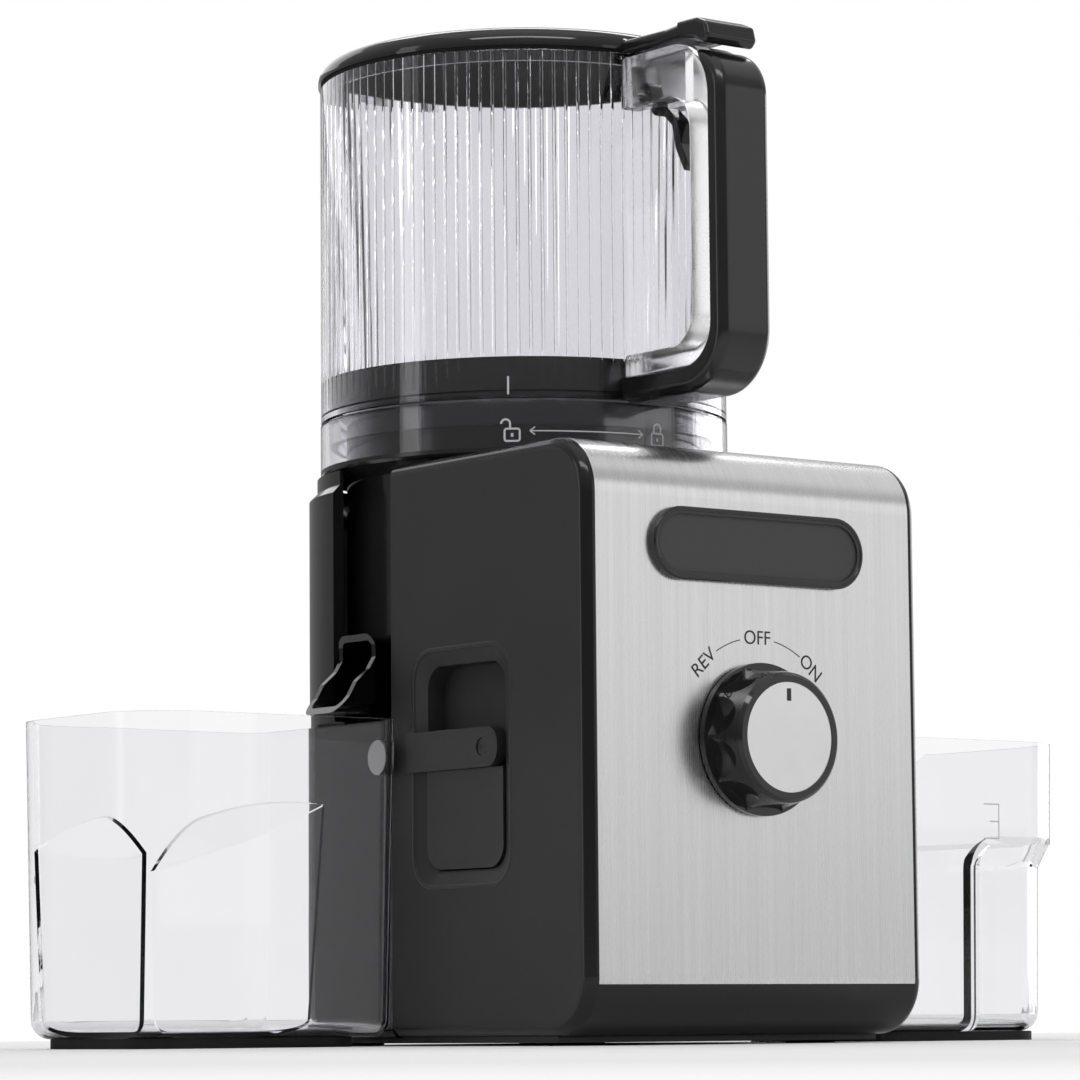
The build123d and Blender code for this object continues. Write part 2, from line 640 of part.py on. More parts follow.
def spout(shape, side, mouth):
    """Short chute with a slanted mouth, fitted to the drum's wall."""
    y0, y1, z0, z1 = shape
    piece = spout_hollow(shape, 0) - spout_hollow(shape, SPOUT_T)
    past = SPOUT_END + 1
    cutter = make_face(Polyline(*mouth, (past, z0 - 1), (past, z1 + 1), close=True))
    piece -= Pos(0, y1 + 1, 0) * extrude(Plane.XZ * cutter, y1 - y0 + 2)
    piece -= disc(DRUM_R, z0 - 1, z1 + 1)
    return piece if side > 0 else mirror(piece, Plane.YZ)


def juicing_drum():
    inner_r = DRUM_R - DRUM_WALL
    drum = turned([(HUB_HOLE_R, DRUM_LOW), (DRUM_R, DRUM_LOW), (DRUM_R, COLLAR_LOW - 3),
                   (COLLAR_R - 1, COLLAR_LOW), (COLLAR_R, COLLAR_LOW + 1), (COLLAR_R, RING_LOW),
                   (DRUM_R, RING_LOW), (DRUM_R, CORE_TOP), (inner_r, CORE_TOP), (inner_r, DRUM_LOW + 4),
                   (HUB_R, DRUM_LOW + 4), (HUB_R, HUB_TOP), (HUB_HOLE_R, HUB_TOP)])
    drum -= mirror(spout_hollow(PULP_SPOUT, SPOUT_T), Plane.YZ) - disc(inner_r - 6, 0, CORE_TOP)
    return drum - (spout_hollow(JUICE_SPOUT, SPOUT_T) - disc(inner_r - 6, 0, CORE_TOP))


def drum_collar():
    return turned([(COLLAR_IN_R, RING_LOW), (COLLAR_R, RING_LOW), (COLLAR_R, COLLAR_TOP - 0.6),
                   (COLLAR_R - 0.6, COLLAR_TOP), (COLLAR_IN_R, COLLAR_TOP)])


def pulp_spout():
    return spout(PULP_SPOUT, -1, PULP_MOUTH)


def juice_spout():
    return spout(JUICE_SPOUT, 1, JUICE_MOUTH)


def strainer_frame():
    frame = tube(DRUM_R - DRUM_WALL - 0.2, STRAINER_R + 3, SCREW_TOP, SCREW_TOP + 6)
    frame += tube(STRAINER_R + 5, STRAINER_R - 1, DRUM_LOW + 4, DRUM_LOW + 9)
    for rib in range(8):
        bar = block(STRAINER_R + 1, STRAINER_R + 4.5, -2.5, 2.5, DRUM_LOW + 8, SCREW_TOP + 1)
        frame += Rot(0, 0, 45 * rib + 22.5) * bar
    return frame - disc(STRAINER_R + 0.8, DRUM_LOW + 9, SCREW_TOP)


def strainer_mesh():
    return tube(STRAINER_R + 0.8, STRAINER_R, DRUM_LOW + 9, SCREW_TOP + 4)


def hub_seal():
    return tube(SEAL_R, HUB_HOLE_R, HUB_TOP, HUB_TOP + 3)


def pulp_plug():
    return block(-58, -36, -7, 7, DRUM_LOW - 2.2, DRUM_LOW)


def flight_section(height, turn, core):
    """Outline of the screw at one height, a core with raised flights."""
    points = []
    for flight in range(SCREW_FLIGHTS):
        for offset, radius in ((-40, core), (-9, SCREW_OUT_R), (9, SCREW_OUT_R), (40, core)):
            angle = math.radians(360 / SCREW_FLIGHTS * flight + offset)
            points.append((radius * math.cos(angle), radius * math.sin(angle)))
    return Pos(0, 0, height) * Rot(0, 0, turn) * make_face(Polyline(*points, close=True))


def screw():
    sections = []
    for step in range(SCREW_SECTIONS):
        part = step / (SCREW_SECTIONS - 1)
        height = SCREW_LOW + 4 + part * (SCREW_TOP - SCREW_LOW - 4)
        sections.append(flight_section(height, part * SCREW_TWIST, 33 - 12 * part))
    body = loft(sections, ruled=True) + disc(SCREW_OUT_R, SCREW_LOW, SCREW_LOW + 4)
    socket = RegularPolygon(SHAFT_FLATS / 2 + 0.35, 6, major_radius=False)
    return body - extrude(Pos(0, 0, SCREW_LOW - 1) * socket, SHAFT_TOP - SCREW_LOW + 3)


def feed_head():
    head = turned([(0, SCREW_TOP), (28, SCREW_TOP), (26, SCREW_TOP + 6), (10, FEED_TOP - 3),
                   (7, FEED_TOP), (0, FEED_TOP)])
    vane = []
    for step in range(5):
        part = step / 4
        outline = Pos(23 - 6 * part, 0) * Rectangle(46 - 14 * part, 5)
        vane.append(Pos(0, 0, SCREW_TOP + part * (FEED_TOP - SCREW_TOP - 8)) * Rot(0, 0, 70 * part) * outline)
    return head + loft(vane, ruled=True)


def feed_blade():
    blade = block(-BLADE_REACH, 0, -BLADE_HALF, BLADE_HALF, BLADE_LOW, BLADE_LOW + BLADE_T)
    blade += block(-BLADE_REACH, BLADE_T - BLADE_REACH, -BLADE_HALF, BLADE_HALF,
                   BLADE_LOW, BLADE_LOW + BLADE_RISE)
    blade = fillet(blade.edges().filter_by(Axis.Z).group_by(Axis.X)[0], 0.8)
    return blade - feed_head()


def hopper():
    inner_r = HOPPER_R - HOPPER_WALL
    wall = turned([(HOPPER_R, HOPPER_LOW), (HOPPER_R, HOPPER_TOP - 0.8), (HOPPER_R - 0.8, HOPPER_TOP),
                   (inner_r, HOPPER_TOP), (inner_r, HOPPER_LOW + 3), (SPIGOT_R - 3, HOPPER_LOW + 3),
                   (SPIGOT_R - 3, SPIGOT_LOW), (SPIGOT_R, SPIGOT_LOW), (SPIGOT_R, HOPPER_LOW)])
    for x0, x1 in ((-LUG_OUT_X, -LUG_IN_X), (LUG_IN_X, LUG_OUT_X)):
        lug = rod_x(HINGE_R, x0, x1, HINGE_Y, HINGE_Z)
        lug += block(x0, x1, HINGE_Y - HINGE_R, HINGE_Y + HINGE_R, LUG_LOW, HINGE_Z)
        lug += block(x0, x1, inner_r, HINGE_Y, LUG_LOW, HOPPER_TOP - 1)
        wall += lug - disc(HOPPER_R - 0.5, 0, HINGE_Z + HINGE_R)
    return wall - rod_x(HINGE_PIN_R, -PIN_REACH, PIN_REACH, HINGE_Y, HINGE_Z)


def hopper_floor():
    low = HOPPER_LOW + 3
    return turned([(HOPPER_R - HOPPER_WALL, low), (HOPPER_R - HOPPER_WALL, low + 12), (FLOOR_HOLE_R, low + 2),
                   (FLOOR_HOLE_R, low - 1.5), (SPIGOT_R - 3, low - 1.5), (SPIGOT_R - 3, low)])


def handle_outline():
    """Side view of the clear handle frame without its finger gap."""
    return side_rect(BAND_Y, ARM_REAR_Y, BAND_LOW, ARM_TOP, BAND_LOW_R, BAND_HIGH_R)


def handle_frame():
    gap = side_rect(GAP_Y, ARM_REAR_Y + 10, GAP_LOW, GAP_HIGH, GAP_R, GAP_R)
    frame = slab(handle_outline(), -BAND_HALF, BAND_HALF) - slab(gap, -HALF_WIDTH, HALF_WIDTH)
    sides = [e for e in frame.edges() if abs(abs(e.center().X) - BAND_HALF) < 0.01]
    frame = fillet([e for e in sides if e.center().Y < ARM_REAR_Y - 1], BAND_EDGE_R)
    frame -= disc(HOPPER_R, 0, HOPPER_TOP + 10)
    slot_half = LEVER_HALF + LEVER_ROOM
    frame -= block(-slot_half, slot_half, GAP_Y + 6, ARM_REAR_Y + 10, GAP_HIGH - 5, ARM_TOP - 3)
    return frame - rod_x(LEVER_PIN_R, -PIN_REACH, PIN_REACH, LEVER_Y, LEVER_Z)


def handle_grip():
    outer = side_rect(GRIP_Y, ARM_REAR_Y, GRIP_LOW, GRIP_HIGH, GRIP_LOW_R, GRIP_HIGH_R)
    grip = slab(outer, -GRIP_HALF, GRIP_HALF)
    sides = [e for e in grip.edges() if abs(abs(e.center().X) - GRIP_HALF) < 0.01]
    grip = fillet([e for e in sides if e.center().Y < ARM_REAR_Y - 1], GRIP_EDGE_R)
    grip -= slab(handle_outline(), -HALF_WIDTH, HALF_WIDTH)
    grip -= block(-HALF_WIDTH, HALF_WIDTH, BAND_Y + BAND_HIGH_R, 0, BAND_LOW, ARM_TOP + 1)
    sides = [e for e in grip.edges() if abs(abs(e.center().X) - GRIP_HALF) < 0.01]
    inner = [e for e in sides if abs(e.center().Y - BAND_Y) < 0.01 or abs(e.center().Z - BAND_LOW) < 0.01]
    bends = [e for e in sides if e.geom_type == GeomType.CIRCLE]
    grip = fillet(inner + bends, GRIP_INNER_R)
    return grip - disc(HOPPER_R + 0.9, 0, HOPPER_LOW + 0.3) - disc(HOPPER_R, HOPPER_LOW, HOPPER_TOP)


def lever_pin():
    return rod_x(LEVER_PIN_R, -BAND_HALF, BAND_HALF, LEVER_Y, LEVER_Z)


def lid_hinge_pin():
    return rod_x(HINGE_PIN_R, -HINGE_PIN_HALF, HINGE_PIN_HALF, HINGE_Y, HINGE_Z)


def release_lever():
    outline = trace(FilletPolyline(*LEVER_PATH, radius=LEVER_BEND), LEVER_T)
    lever = slab(outline, -LEVER_HALF, LEVER_HALF)
    lever += rod_x(LEVER_BARREL_R, -LEVER_HALF, LEVER_HALF, LEVER_Y, LEVER_Z)
    return lever - rod_x(LEVER_PIN_R + RUNNING_GAP, -PIN_REACH, PIN_REACH, LEVER_Y, LEVER_Z)


def lid_tab():
    """Arm from the lid's edge to a small hood over the top of the handle."""
    arm = slab(make_face(FilletPolyline(*TAB_ARM, radius=TAB_BEND, close=True)), -TAB_ARM_HALF, TAB_ARM_HALF)
    sides = [e for e in arm.edges() if abs(abs(e.center().X) - TAB_ARM_HALF) < 0.01]
    arm = fillet([e for e in sides if e.center().Z > TAB_MID_Z and e.center().Y < TAB_ROOT_Y - 1], TAB_ARM_R)
    arm -= disc(LID_R - 0.5, 0, LID_LOW + 0.01) + disc(LID_IN_R, 0, LID_TOP - LID_T)
    hood = slab(make_face(Polyline(*TAB_HOOD, close=True)), -TAB_HALF, TAB_HALF)
    plan = block(-TAB_HALF, TAB_HALF, GRIP_Y, TAB_NECK_Y, 0, LID_TOP)
    hood &= fillet([e for e in plan.edges().filter_by(Axis.Z) if e.center().Y < TAB_NECK_Y], TAB_CORNER_R)
    return arm + fillet([e for e in hood.edges() if e.center().Y < TAB_NECK_Y - 0.5], TAB_HOOD_R)


def lid():
    top = disc(LID_R, LID_LOW, LID_TOP)
    top = fillet(top.edges().group_by(Axis.Z)[-1], LID_EDGE_R) - disc(LID_IN_R, 0, LID_TOP - LID_T)
    top += turned([(LID_IN_R + 2.6, LID_LOW + 1), (LID_IN_R + 2.6, LID_LOW - 1),
                   (LID_IN_R + 1, LID_SKIRT_LOW), (LID_IN_R - 1.2, LID_SKIRT_LOW), (LID_IN_R, LID_LOW + 1)])
    knuckle = rod_x(HINGE_R, -KNUCKLE_HALF, KNUCKLE_HALF, HINGE_Y, HINGE_Z)
    knuckle += block(-KNUCKLE_HALF, KNUCKLE_HALF, LID_IN_R + 1, HINGE_Y, LID_LOW + 0.5, HINGE_Z + HINGE_R)
    knuckle -= rod_x(HINGE_PIN_R + RUNNING_GAP, -PIN_REACH, PIN_REACH, HINGE_Y, HINGE_Z)
    return top + lid_tab() + knuckle


def lid_gasket():
    return tube(HOPPER_R - 0.4, HOPPER_R - HOPPER_WALL + 0.3, HOPPER_TOP + 0.1, LID_LOW)


def cup_outline(box, side, inset):
    """Plan of a container, drawn in by one distance, with its outer corners rounder than the inner ones."""
    x0, x1, y0, y1 = box
    face = make_face(Polyline((x0 + inset, y0 + inset), (x1 - inset, y0 + inset), (x1 - inset, y1 - inset),
                              (x0 + inset, y1 - inset), close=True))
    inner_r = CUP_INNER_R if inset > CUP_WALL else CUP_INNER_R - inset
    for corner in face.vertices():
        outward = (corner.X - (x0 + x1) / 2) * side > 0
        near = face.vertices().sort_by_distance(corner)[0]
        face = fillet(near, CUP_OUTER_R - inset if outward else inner_r)
    return face


def cup_shape(box, side, height, inset, low):
    """Tapered body of a container, drawn in by one distance and ending at one height below."""
    body = extrude(Pos(0, 0, height) * cup_outline(box, side, inset), low - height, taper=CUP_DRAFT)
    return fillet(body.edges().group_by(Axis.Z)[0], CUP_HEEL_R + CUP_FLOOR - low)


def foot_pad(box, inset, z1):
    """Rounded block under a container, drawn in by one distance."""
    x0, x1, y0, y1 = box
    pad = block(x0 + inset, x1 - inset, y0 + inset, y1 - inset, 0, z1)
    return fillet(pad.edges().filter_by(Axis.Z), CUP_OUTER_R - inset)


def foot_ring(box):
    """Low soft ring that a container stands on."""
    hollow = foot_pad(box, CUP_FOOT_INSET + CUP_FOOT_T, CUP_FLOOR + 1)
    return foot_pad(box, CUP_FOOT_INSET, CUP_FLOOR) - hollow


def pulp_foot_ring():
    return foot_ring(PULP_CUP)


def juice_foot_ring():
    return foot_ring(JUICE_CUP)


def scoop(plane, arch, x, y, grow):
    """Finger scoop, an arched outline pushed in along a slope as far as an upright cylinder reaches."""
    first, crown, last = arch
    sides = Polyline(last, (last[0], -SCOOP_BELOW), (first[0], -SCOOP_BELOW), first)
    lift = SCOOP_START * SCOOP_SLOPE + grow * math.hypot(1, SCOOP_SLOPE)
    face = plane * (Pos(0, lift) * make_face([ThreePointArc(first, crown, last), sides]))
    push = (-plane.z_dir - Vector(0, 0, SCOOP_SLOPE)).normalized()
    return extrude(face, SCOOP_PUSH, dir=push) & disc(SCOOP_R + grow, -5, PULP_CUP_HEIGHT, x, y)


def pulp_scoops(grow):
    """Both finger scoops of the pulp container, grown by one distance."""
    reach = SCOOP_DEPTH - SCOOP_R
    front = Plane(origin=(0, PULP_CUP[2] - SCOOP_START, 0), x_dir=(1, 0, 0), z_dir=(0, -1, 0))
    side = Plane(origin=(PULP_CUP[0] - SCOOP_START, 0, 0), x_dir=(0, -1, 0), z_dir=(-1, 0, 0))
    return [scoop(front, SCOOP_FRONT_ARCH, SCOOP_FRONT_X, PULP_CUP[2] + reach, grow),
            scoop(side, SCOOP_SIDE_ARCH, PULP_CUP[0] + reach, SCOOP_SIDE_Y, grow)]


def step_cutter(grow):
    """Room taken from the juice container's lower outer end, which stands in all round."""
    room = block(STEP_X - grow, JUICE_CUP[1] + 5, JUICE_CUP[2] - 5, JUICE_CUP[3] + 5, -5, STEP_Z + grow)
    corner = room.edges().filter_by(Axis.Y).sort_by_distance((STEP_X, 0, STEP_Z))[0]
    stem = cup_shape(JUICE_CUP, 1, JUICE_CUP_HEIGHT, STEP_DEPTH + grow, CUP_FLOOR + grow)
    flare_low = STEP_Z - STEP_FLARE + grow
    spread = math.degrees(math.atan(STEP_DEPTH / STEP_FLARE))
    flare = Pos(0, 0, flare_low) * cup_outline(JUICE_CUP, 1, STEP_DEPTH + CUP_DRAFT + grow)
    flare = extrude(flare, STEP_FLARE + 1, taper=-spread)
    return fillet(corner, STEP_R + grow) - stem - flare


def pour_notch():
    """V cut across the juice container's rim at its outer rear corner."""
    bar = Pos(0, CUP_OUTER_R, 0) * Rot(0, 45, 0) * Box(NOTCH_SIZE, NOTCH_LENGTH, NOTCH_SIZE)
    corner = Pos(JUICE_CUP[1] - CUP_OUTER_R, JUICE_CUP[3] - CUP_OUTER_R, JUICE_CUP_HEIGHT)
    return corner * Rot(0, 0, -45) * bar


def pulp_container():
    outer = cup_shape(PULP_CUP, -1, PULP_CUP_HEIGHT, 0, CUP_FLOOR)
    inner = cup_shape(PULP_CUP, -1, PULP_CUP_HEIGHT, CUP_WALL, CUP_FLOOR + CUP_WALL)
    for outer_scoop, inner_scoop in zip(pulp_scoops(0), pulp_scoops(CUP_WALL)):
        outer -= outer_scoop
        inner -= inner_scoop
    return outer - inner - pulp_keeper_disc()


def juice_container():
    outer = cup_shape(JUICE_CUP, 1, JUICE_CUP_HEIGHT, 0, CUP_FLOOR) - step_cutter(0)
    inner = cup_shape(JUICE_CUP, 1, JUICE_CUP_HEIGHT, CUP_WALL, CUP_FLOOR + CUP_WALL)
    inner -= step_cutter(CUP_WALL)
    return outer - inner - pour_notch() - juice_keeper_disc()


def pulp_keeper_disc():
    """Bright disc let into the inside of the wall beside the body."""
    back = PULP_CUP[1] - DISC_COVER
    return rod_x(DISC_R, back - DISC_T, back, PULP_CUP[2] + DISC_BACK, DISC_Z)


def juice_keeper_disc():
    """Bright disc let into the inside of the wall beside the body."""
    back = JUICE_CUP[0] + DISC_COVER
    return rod_x(DISC_R, back, back + DISC_T, JUICE_CUP[2] + DISC_BACK, DISC_Z)


PIECES = {
    "front_housing": front_housing, "rear_housing": rear_housing, "front_panel": front_panel,
    "badge_plate": badge_plate, "bottom_cover": bottom_cover, "rubber_feet": rubber_feet,
    "cover_screws": cover_screws, "dock_screws": dock_screws, "cord_gland": cord_gland,
    "motor_can": motor_can, "motor_end_cap": motor_end_cap, "motor_plate": motor_plate,
    "plate_screws": plate_screws, "rotary_switch": rotary_switch, "switch_nut": switch_nut,
    "control_board": control_board, "board_components": board_components,
    "lower_bearing": lower_bearing, "upper_bearing": upper_bearing, "shaft_seal": shaft_seal,
    "drive_gear": drive_gear, "drive_shaft": drive_shaft,
    "motor_pinion": motor_pinion, "motor_shaft": motor_shaft,
    "knob_skirt": knob_skirt, "knob_cap": knob_cap, "knob_spindle": knob_spindle,
    "juicing_drum": juicing_drum, "drum_collar": drum_collar,
    "pulp_spout": pulp_spout, "juice_spout": juice_spout,
    "strainer_frame": strainer_frame, "strainer_mesh": strainer_mesh,
    "hub_seal": hub_seal, "pulp_plug": pulp_plug,
    "juicing_screw": screw, "feed_head": feed_head, "feed_blade": feed_blade,
    "hopper": hopper, "hopper_floor": hopper_floor, "handle_frame": handle_frame, "handle_grip": handle_grip,
    "lever_pin": lever_pin, "lid_hinge_pin": lid_hinge_pin, "release_lever": release_lever,
    "lid": lid, "lid_gasket": lid_gasket,
    "pulp_container": pulp_container, "pulp_keeper_disc": pulp_keeper_disc,
    "juice_container": juice_container, "juice_keeper_disc": juice_keeper_disc,
    "pulp_foot_ring": pulp_foot_ring, "juice_foot_ring": juice_foot_ring,
}


def main():
    shapes = {name: make() for name, make in PIECES.items()}
    for side, end in ((-1, "left"), (1, "right")):
        shapes["dock_bracket_" + end] = dock_bracket(side)
    os.makedirs("parts", exist_ok=True)
    for name, shape in shapes.items():
        export_step(Pos(-MID_X, -MID_Y, 0) * shape, os.path.join("parts", name + ".step"))
    print("hopper axis at X %.2f Y %.2f" % (-MID_X, -MID_Y))


main()
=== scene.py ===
"""Looks of an upright slow juicer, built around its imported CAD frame, in metres."""
import logging
import math
from collections.abc import Callable, Iterable, Sequence
from dataclasses import dataclass, field
from enum import Enum

import bpy
from mathutils import Matrix, Vector


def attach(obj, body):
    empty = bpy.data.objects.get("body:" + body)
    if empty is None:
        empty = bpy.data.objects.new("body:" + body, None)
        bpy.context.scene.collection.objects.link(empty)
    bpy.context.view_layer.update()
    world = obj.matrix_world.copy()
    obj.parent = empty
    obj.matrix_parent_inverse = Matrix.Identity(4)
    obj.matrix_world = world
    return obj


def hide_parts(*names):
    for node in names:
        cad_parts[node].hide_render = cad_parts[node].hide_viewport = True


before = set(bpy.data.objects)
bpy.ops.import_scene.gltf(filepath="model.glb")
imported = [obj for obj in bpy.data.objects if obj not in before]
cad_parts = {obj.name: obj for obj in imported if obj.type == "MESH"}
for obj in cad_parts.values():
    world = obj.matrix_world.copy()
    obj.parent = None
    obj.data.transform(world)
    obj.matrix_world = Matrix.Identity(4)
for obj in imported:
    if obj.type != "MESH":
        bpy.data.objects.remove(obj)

log = logging.getLogger("juicer")

AXIS_Y = 0.032
FRONT_Y = -0.102
SIDE_X = 0.075
DIAL_Z = 0.1045
BEAD_SINK = 0.0002
PRINT_GAP = 0.00002
WHITE = (1.0, 1.0, 1.0, 1.0)
FLAT = ((1.0, 0.0), (1.0, 1.0), (-1.0, 1.0), (-1.0, 0.0))
BEAD = tuple((math.cos(math.radians(turn)), math.sin(math.radians(turn))) for turn in range(0, 181, 20))

Point2 = tuple[float, float]
Point3 = tuple[float, float, float]
Place = Callable[[float, float, float], Point3]
Colour = tuple[float, float, float, float]
Strip = tuple[list[Point3], list[list[int]]]
Feed = bpy.types.NodeSocket | float
Paint = bpy.types.NodeSocket | Colour


class Body(Enum):
    """CAD bodies that pieces of this scene ride on."""

    HOUSING = "housing"
    DIAL = "dial"
    DRUM = "drum"
    HOPPER = "hopper"
    JUICE_CUP = "juice_cup"


class Slot(Enum):
    """Names of material slots."""

    GLOSS = "gloss_black"
    METAL = "cap_metal"
    HOPPER = "hopper_clear"


class Graph:
    """Small helper that adds nodes to one node tree and links them."""

    def __init__(self, tree: bpy.types.NodeTree) -> None:
        """Start from an empty tree."""
        self.tree = tree
        self.tree.nodes.clear()

    def add(self, kind: str, inputs: dict | None = None, **settings: object) -> bpy.types.Node:
        """Add one node.

        Args:
            kind: Blender's node type.
            inputs: values or sockets for the node's inputs, by name or by number.
            settings: plain attributes of the node.

        Returns:
            The new node.
        """
        node = self.tree.nodes.new(kind)
        for name, value in settings.items():
            setattr(node, name, value)
        for key, value in (inputs or {}).items():
            if isinstance(value, bpy.types.NodeSocket):
                self.tree.links.new(value, node.inputs[key])
            else:
                node.inputs[key].default_value = value
        return node

    def math(self, operation: str, first: Feed, second: Feed = 0.0, clamp: bool = False
             ) -> bpy.types.NodeSocket:
        """Add a math node.

        Args:
            operation: Blender's name of the operation.
            first: value or socket.
            second: value or socket.
            clamp: keep the result between 0 and 1.

        Returns:
            The result's socket.
        """
        node = self.add("ShaderNodeMath", {0: first, 1: second}, operation=operation, use_clamp=clamp)
        return node.outputs[0]

    def span(self, value: bpy.types.NodeSocket, low: float, high: float, start: float = 0.0,
             end: float = 1.0) -> bpy.types.NodeSocket:
        """Map a value from one range to another.

        Args:
            value: the socket that varies.
            low: result at the start.
            high: result at the end.
            start: value that gives the low result.
            end: value that gives the high result.

        Returns:
            The result's socket.
        """
        keys = {"Value": value, "From Min": start, "From Max": end, "To Min": low, "To Max": high}
        return self.add("ShaderNodeMapRange", keys).outputs[0]

    def blend(self, factor: Feed, first: Paint, second: Paint) -> bpy.types.NodeSocket:
        """Mix two colours.

        Args:
            factor: socket between 0 and 1.
            first: colour or socket at 0.
            second: colour or socket at 1.

        Returns:
            The colour's socket.
        """
        node = self.add("ShaderNodeMix", {0: factor, 6: first, 7: second}, data_type="RGBA")
        return node.outputs[2]

    def noise(self, vector: bpy.types.NodeSocket, scale: Feed, detail: float = 2.0, rough: float = 0.5
              ) -> bpy.types.NodeSocket:
        """Add a noise texture.

        Args:
            vector: the coordinates' socket.
            scale: features per metre, value or socket.
            detail: octaves.
            rough: weight of the finer octaves.

        Returns:
            The noise value's socket.
        """
        keys = {"Vector": vector, "Scale": scale, "Detail": detail, "Roughness": rough}
        return self.add("ShaderNodeTexNoise", keys).outputs[0]


def new_group(name: str, inputs: dict[str, float], outputs: Sequence[str]) -> tuple[Graph, dict, dict]:
    """Start a shader node group.

    Args:
        name: the group's name.
        inputs: its number inputs with their defaults.
        outputs: its number outputs.

    Returns:
        The group's graph, its input sockets and its output sockets, by name.
    """
    tree = bpy.data.node_groups.new(name, "ShaderNodeTree")
    graph = Graph(tree)
    for key, value in inputs.items():
        socket = tree.interface.new_socket(name=key, in_out="INPUT", socket_type="NodeSocketFloat")
        socket.default_value = value
    for key in outputs:
        tree.interface.new_socket(name=key, in_out="OUTPUT", socket_type="NodeSocketFloat")
    entry = graph.add("NodeGroupInput")
    leave = graph.add("NodeGroupOutput")
    return graph, {key: entry.outputs[key] for key in inputs}, {key: leave.inputs[key] for key in outputs}


def grain_group() -> bpy.types.NodeTree:
    """Fine moulded grain with a slow change of tone.

    Returns:
        The shader node group.
    """
    graph, given, out = new_group("Moulded grain", {"Scale": 2500.0}, ("Height", "Tone"))
    place = graph.add("ShaderNodeTexCoord").outputs["Object"]
    fine = graph.noise(place, given["Scale"], 3.0, 0.6)
    slow = graph.noise(place, graph.math("MULTIPLY", given["Scale"], 0.012), 3.0)
    graph.tree.links.new(fine, out["Height"])
    graph.tree.links.new(slow, out["Tone"])
    return graph.tree


def brush_group() -> bpy.types.NodeTree:
    """Straight brushing that runs up the front and back over the top.

    Returns:
        The shader node group.
    """
    graph, given, out = new_group("Straight brushing", {"Across": 2200.0, "Along": 9.0}, ("Lines", "Tone"))
    place = graph.add("ShaderNodeTexCoord").outputs["Object"]
    stretch = graph.add("ShaderNodeCombineXYZ", {0: given["Across"], 1: given["Along"], 2: given["Along"]})
    keys = {0: place, 1: stretch.outputs[0]}
    lines = graph.add("ShaderNodeVectorMath", keys, operation="MULTIPLY").outputs[0]
    fine = graph.noise(lines, 1.0, 4.0, 0.7)
    broad = graph.noise(lines, 0.16, 2.0, 0.6)
    graph.tree.links.new(fine, out["Lines"])
    graph.tree.links.new(broad, out["Tone"])
    return graph.tree


def turned_group() -> bpy.types.NodeTree:
    """Fine rings about a Y axis through a given height, as on a spun metal disc.

    Returns:
        The shader node group.
    """
    graph, given, out = new_group("Spun rings", {"Height": DIAL_Z, "Rings": 1400.0}, ("Rings", "Tone"))
    place = graph.add("ShaderNodeTexCoord").outputs["Object"]
    parts = graph.add("ShaderNodeSeparateXYZ", {0: place}).outputs
    level = graph.math("SUBTRACT", parts[2], given["Height"])
    square = graph.math("ADD", graph.math("POWER", parts[0], 2.0), graph.math("POWER", level, 2.0))
    reach = graph.math("MULTIPLY", graph.math("SQRT", square), given["Rings"])
    line = graph.add("ShaderNodeCombineXYZ", {0: reach}).outputs[0]
    graph.tree.links.new(graph.noise(line, 1.0, 3.0), out["Rings"])
    graph.tree.links.new(graph.noise(place, 90.0, 2.0), out["Tone"])
    return graph.tree


def smudge_group() -> bpy.types.NodeTree:
    """Soft handling marks that change the gloss.

    Returns:
        The shader node group.
    """
    graph, given, out = new_group("Handling marks", {"Scale": 40.0}, ("Marks", "Peel"))
    place = graph.add("ShaderNodeTexCoord").outputs["Object"]
    marks = graph.noise(place, given["Scale"], 4.0, 0.55)
    peel = graph.noise(place, graph.math("MULTIPLY", given["Scale"], 9.0), 1.0)
    graph.tree.links.new(marks, out["Marks"])
    graph.tree.links.new(peel, out["Peel"])
    return graph.tree


class Effects:
    """The shared shader node groups, each built once."""

    def __init__(self) -> None:
        """Build every group."""
        self.grain = grain_group()
        self.brush = brush_group()
        self.turned = turned_group()
        self.smudge = smudge_group()


class Sheet:
    """One new material with its shader and output node."""

    def __init__(self, name: str, values: dict) -> None:
        """Make the material.

        Args:
            name: the material's name.
            values: constants for the shader's own sockets.
        """
        self.material = bpy.data.materials.new(name)
        self.material.use_nodes = True
        self.graph = Graph(self.material.node_tree)
        self.shader = self.graph.add("ShaderNodeBsdfPrincipled", values)
        self.output = self.graph.add("ShaderNodeOutputMaterial", {"Surface": self.shader.outputs[0]})

    def effect(self, group: bpy.types.NodeTree, values: dict) -> bpy.types.NodeOutputs:
        """Place a shared effect in the material.

        Args:
            group: the effect's node group.
            values: its inputs.

        Returns:
            The effect's outputs.
        """
        node = self.graph.add("ShaderNodeGroup", node_tree=group)
        for key, value in values.items():
            node.inputs[key].default_value = value
        return node.outputs

    def feed(self, socket: str, source: bpy.types.NodeSocket) -> None:
        """Link a value that changes over the surface to the shader."""
        self.graph.tree.links.new(source, self.shader.inputs[socket])

    def bump(self, height: bpy.types.NodeSocket, distance: float, strength: float = 0.5) -> None:
        """Give the surface relief.

        Args:
            height: the height's socket.
            distance: depth of the relief in metres.
            strength: share of the relief that shows.
        """
        keys = {"Height": height, "Distance": distance, "Strength": strength}
        self.feed("Normal", self.graph.add("ShaderNodeBump", keys).outputs[0])

    def place(self) -> bpy.types.NodeOutputs:
        """Coordinates in the object's own frame."""
        spot = self.graph.add("ShaderNodeTexCoord").outputs["Object"]
        return self.graph.add("ShaderNodeSeparateXYZ", {0: spot}).outputs


def grey(value: float) -> Colour:
    """Neutral colour of one linear value."""
    return (value, value, value, 1.0)


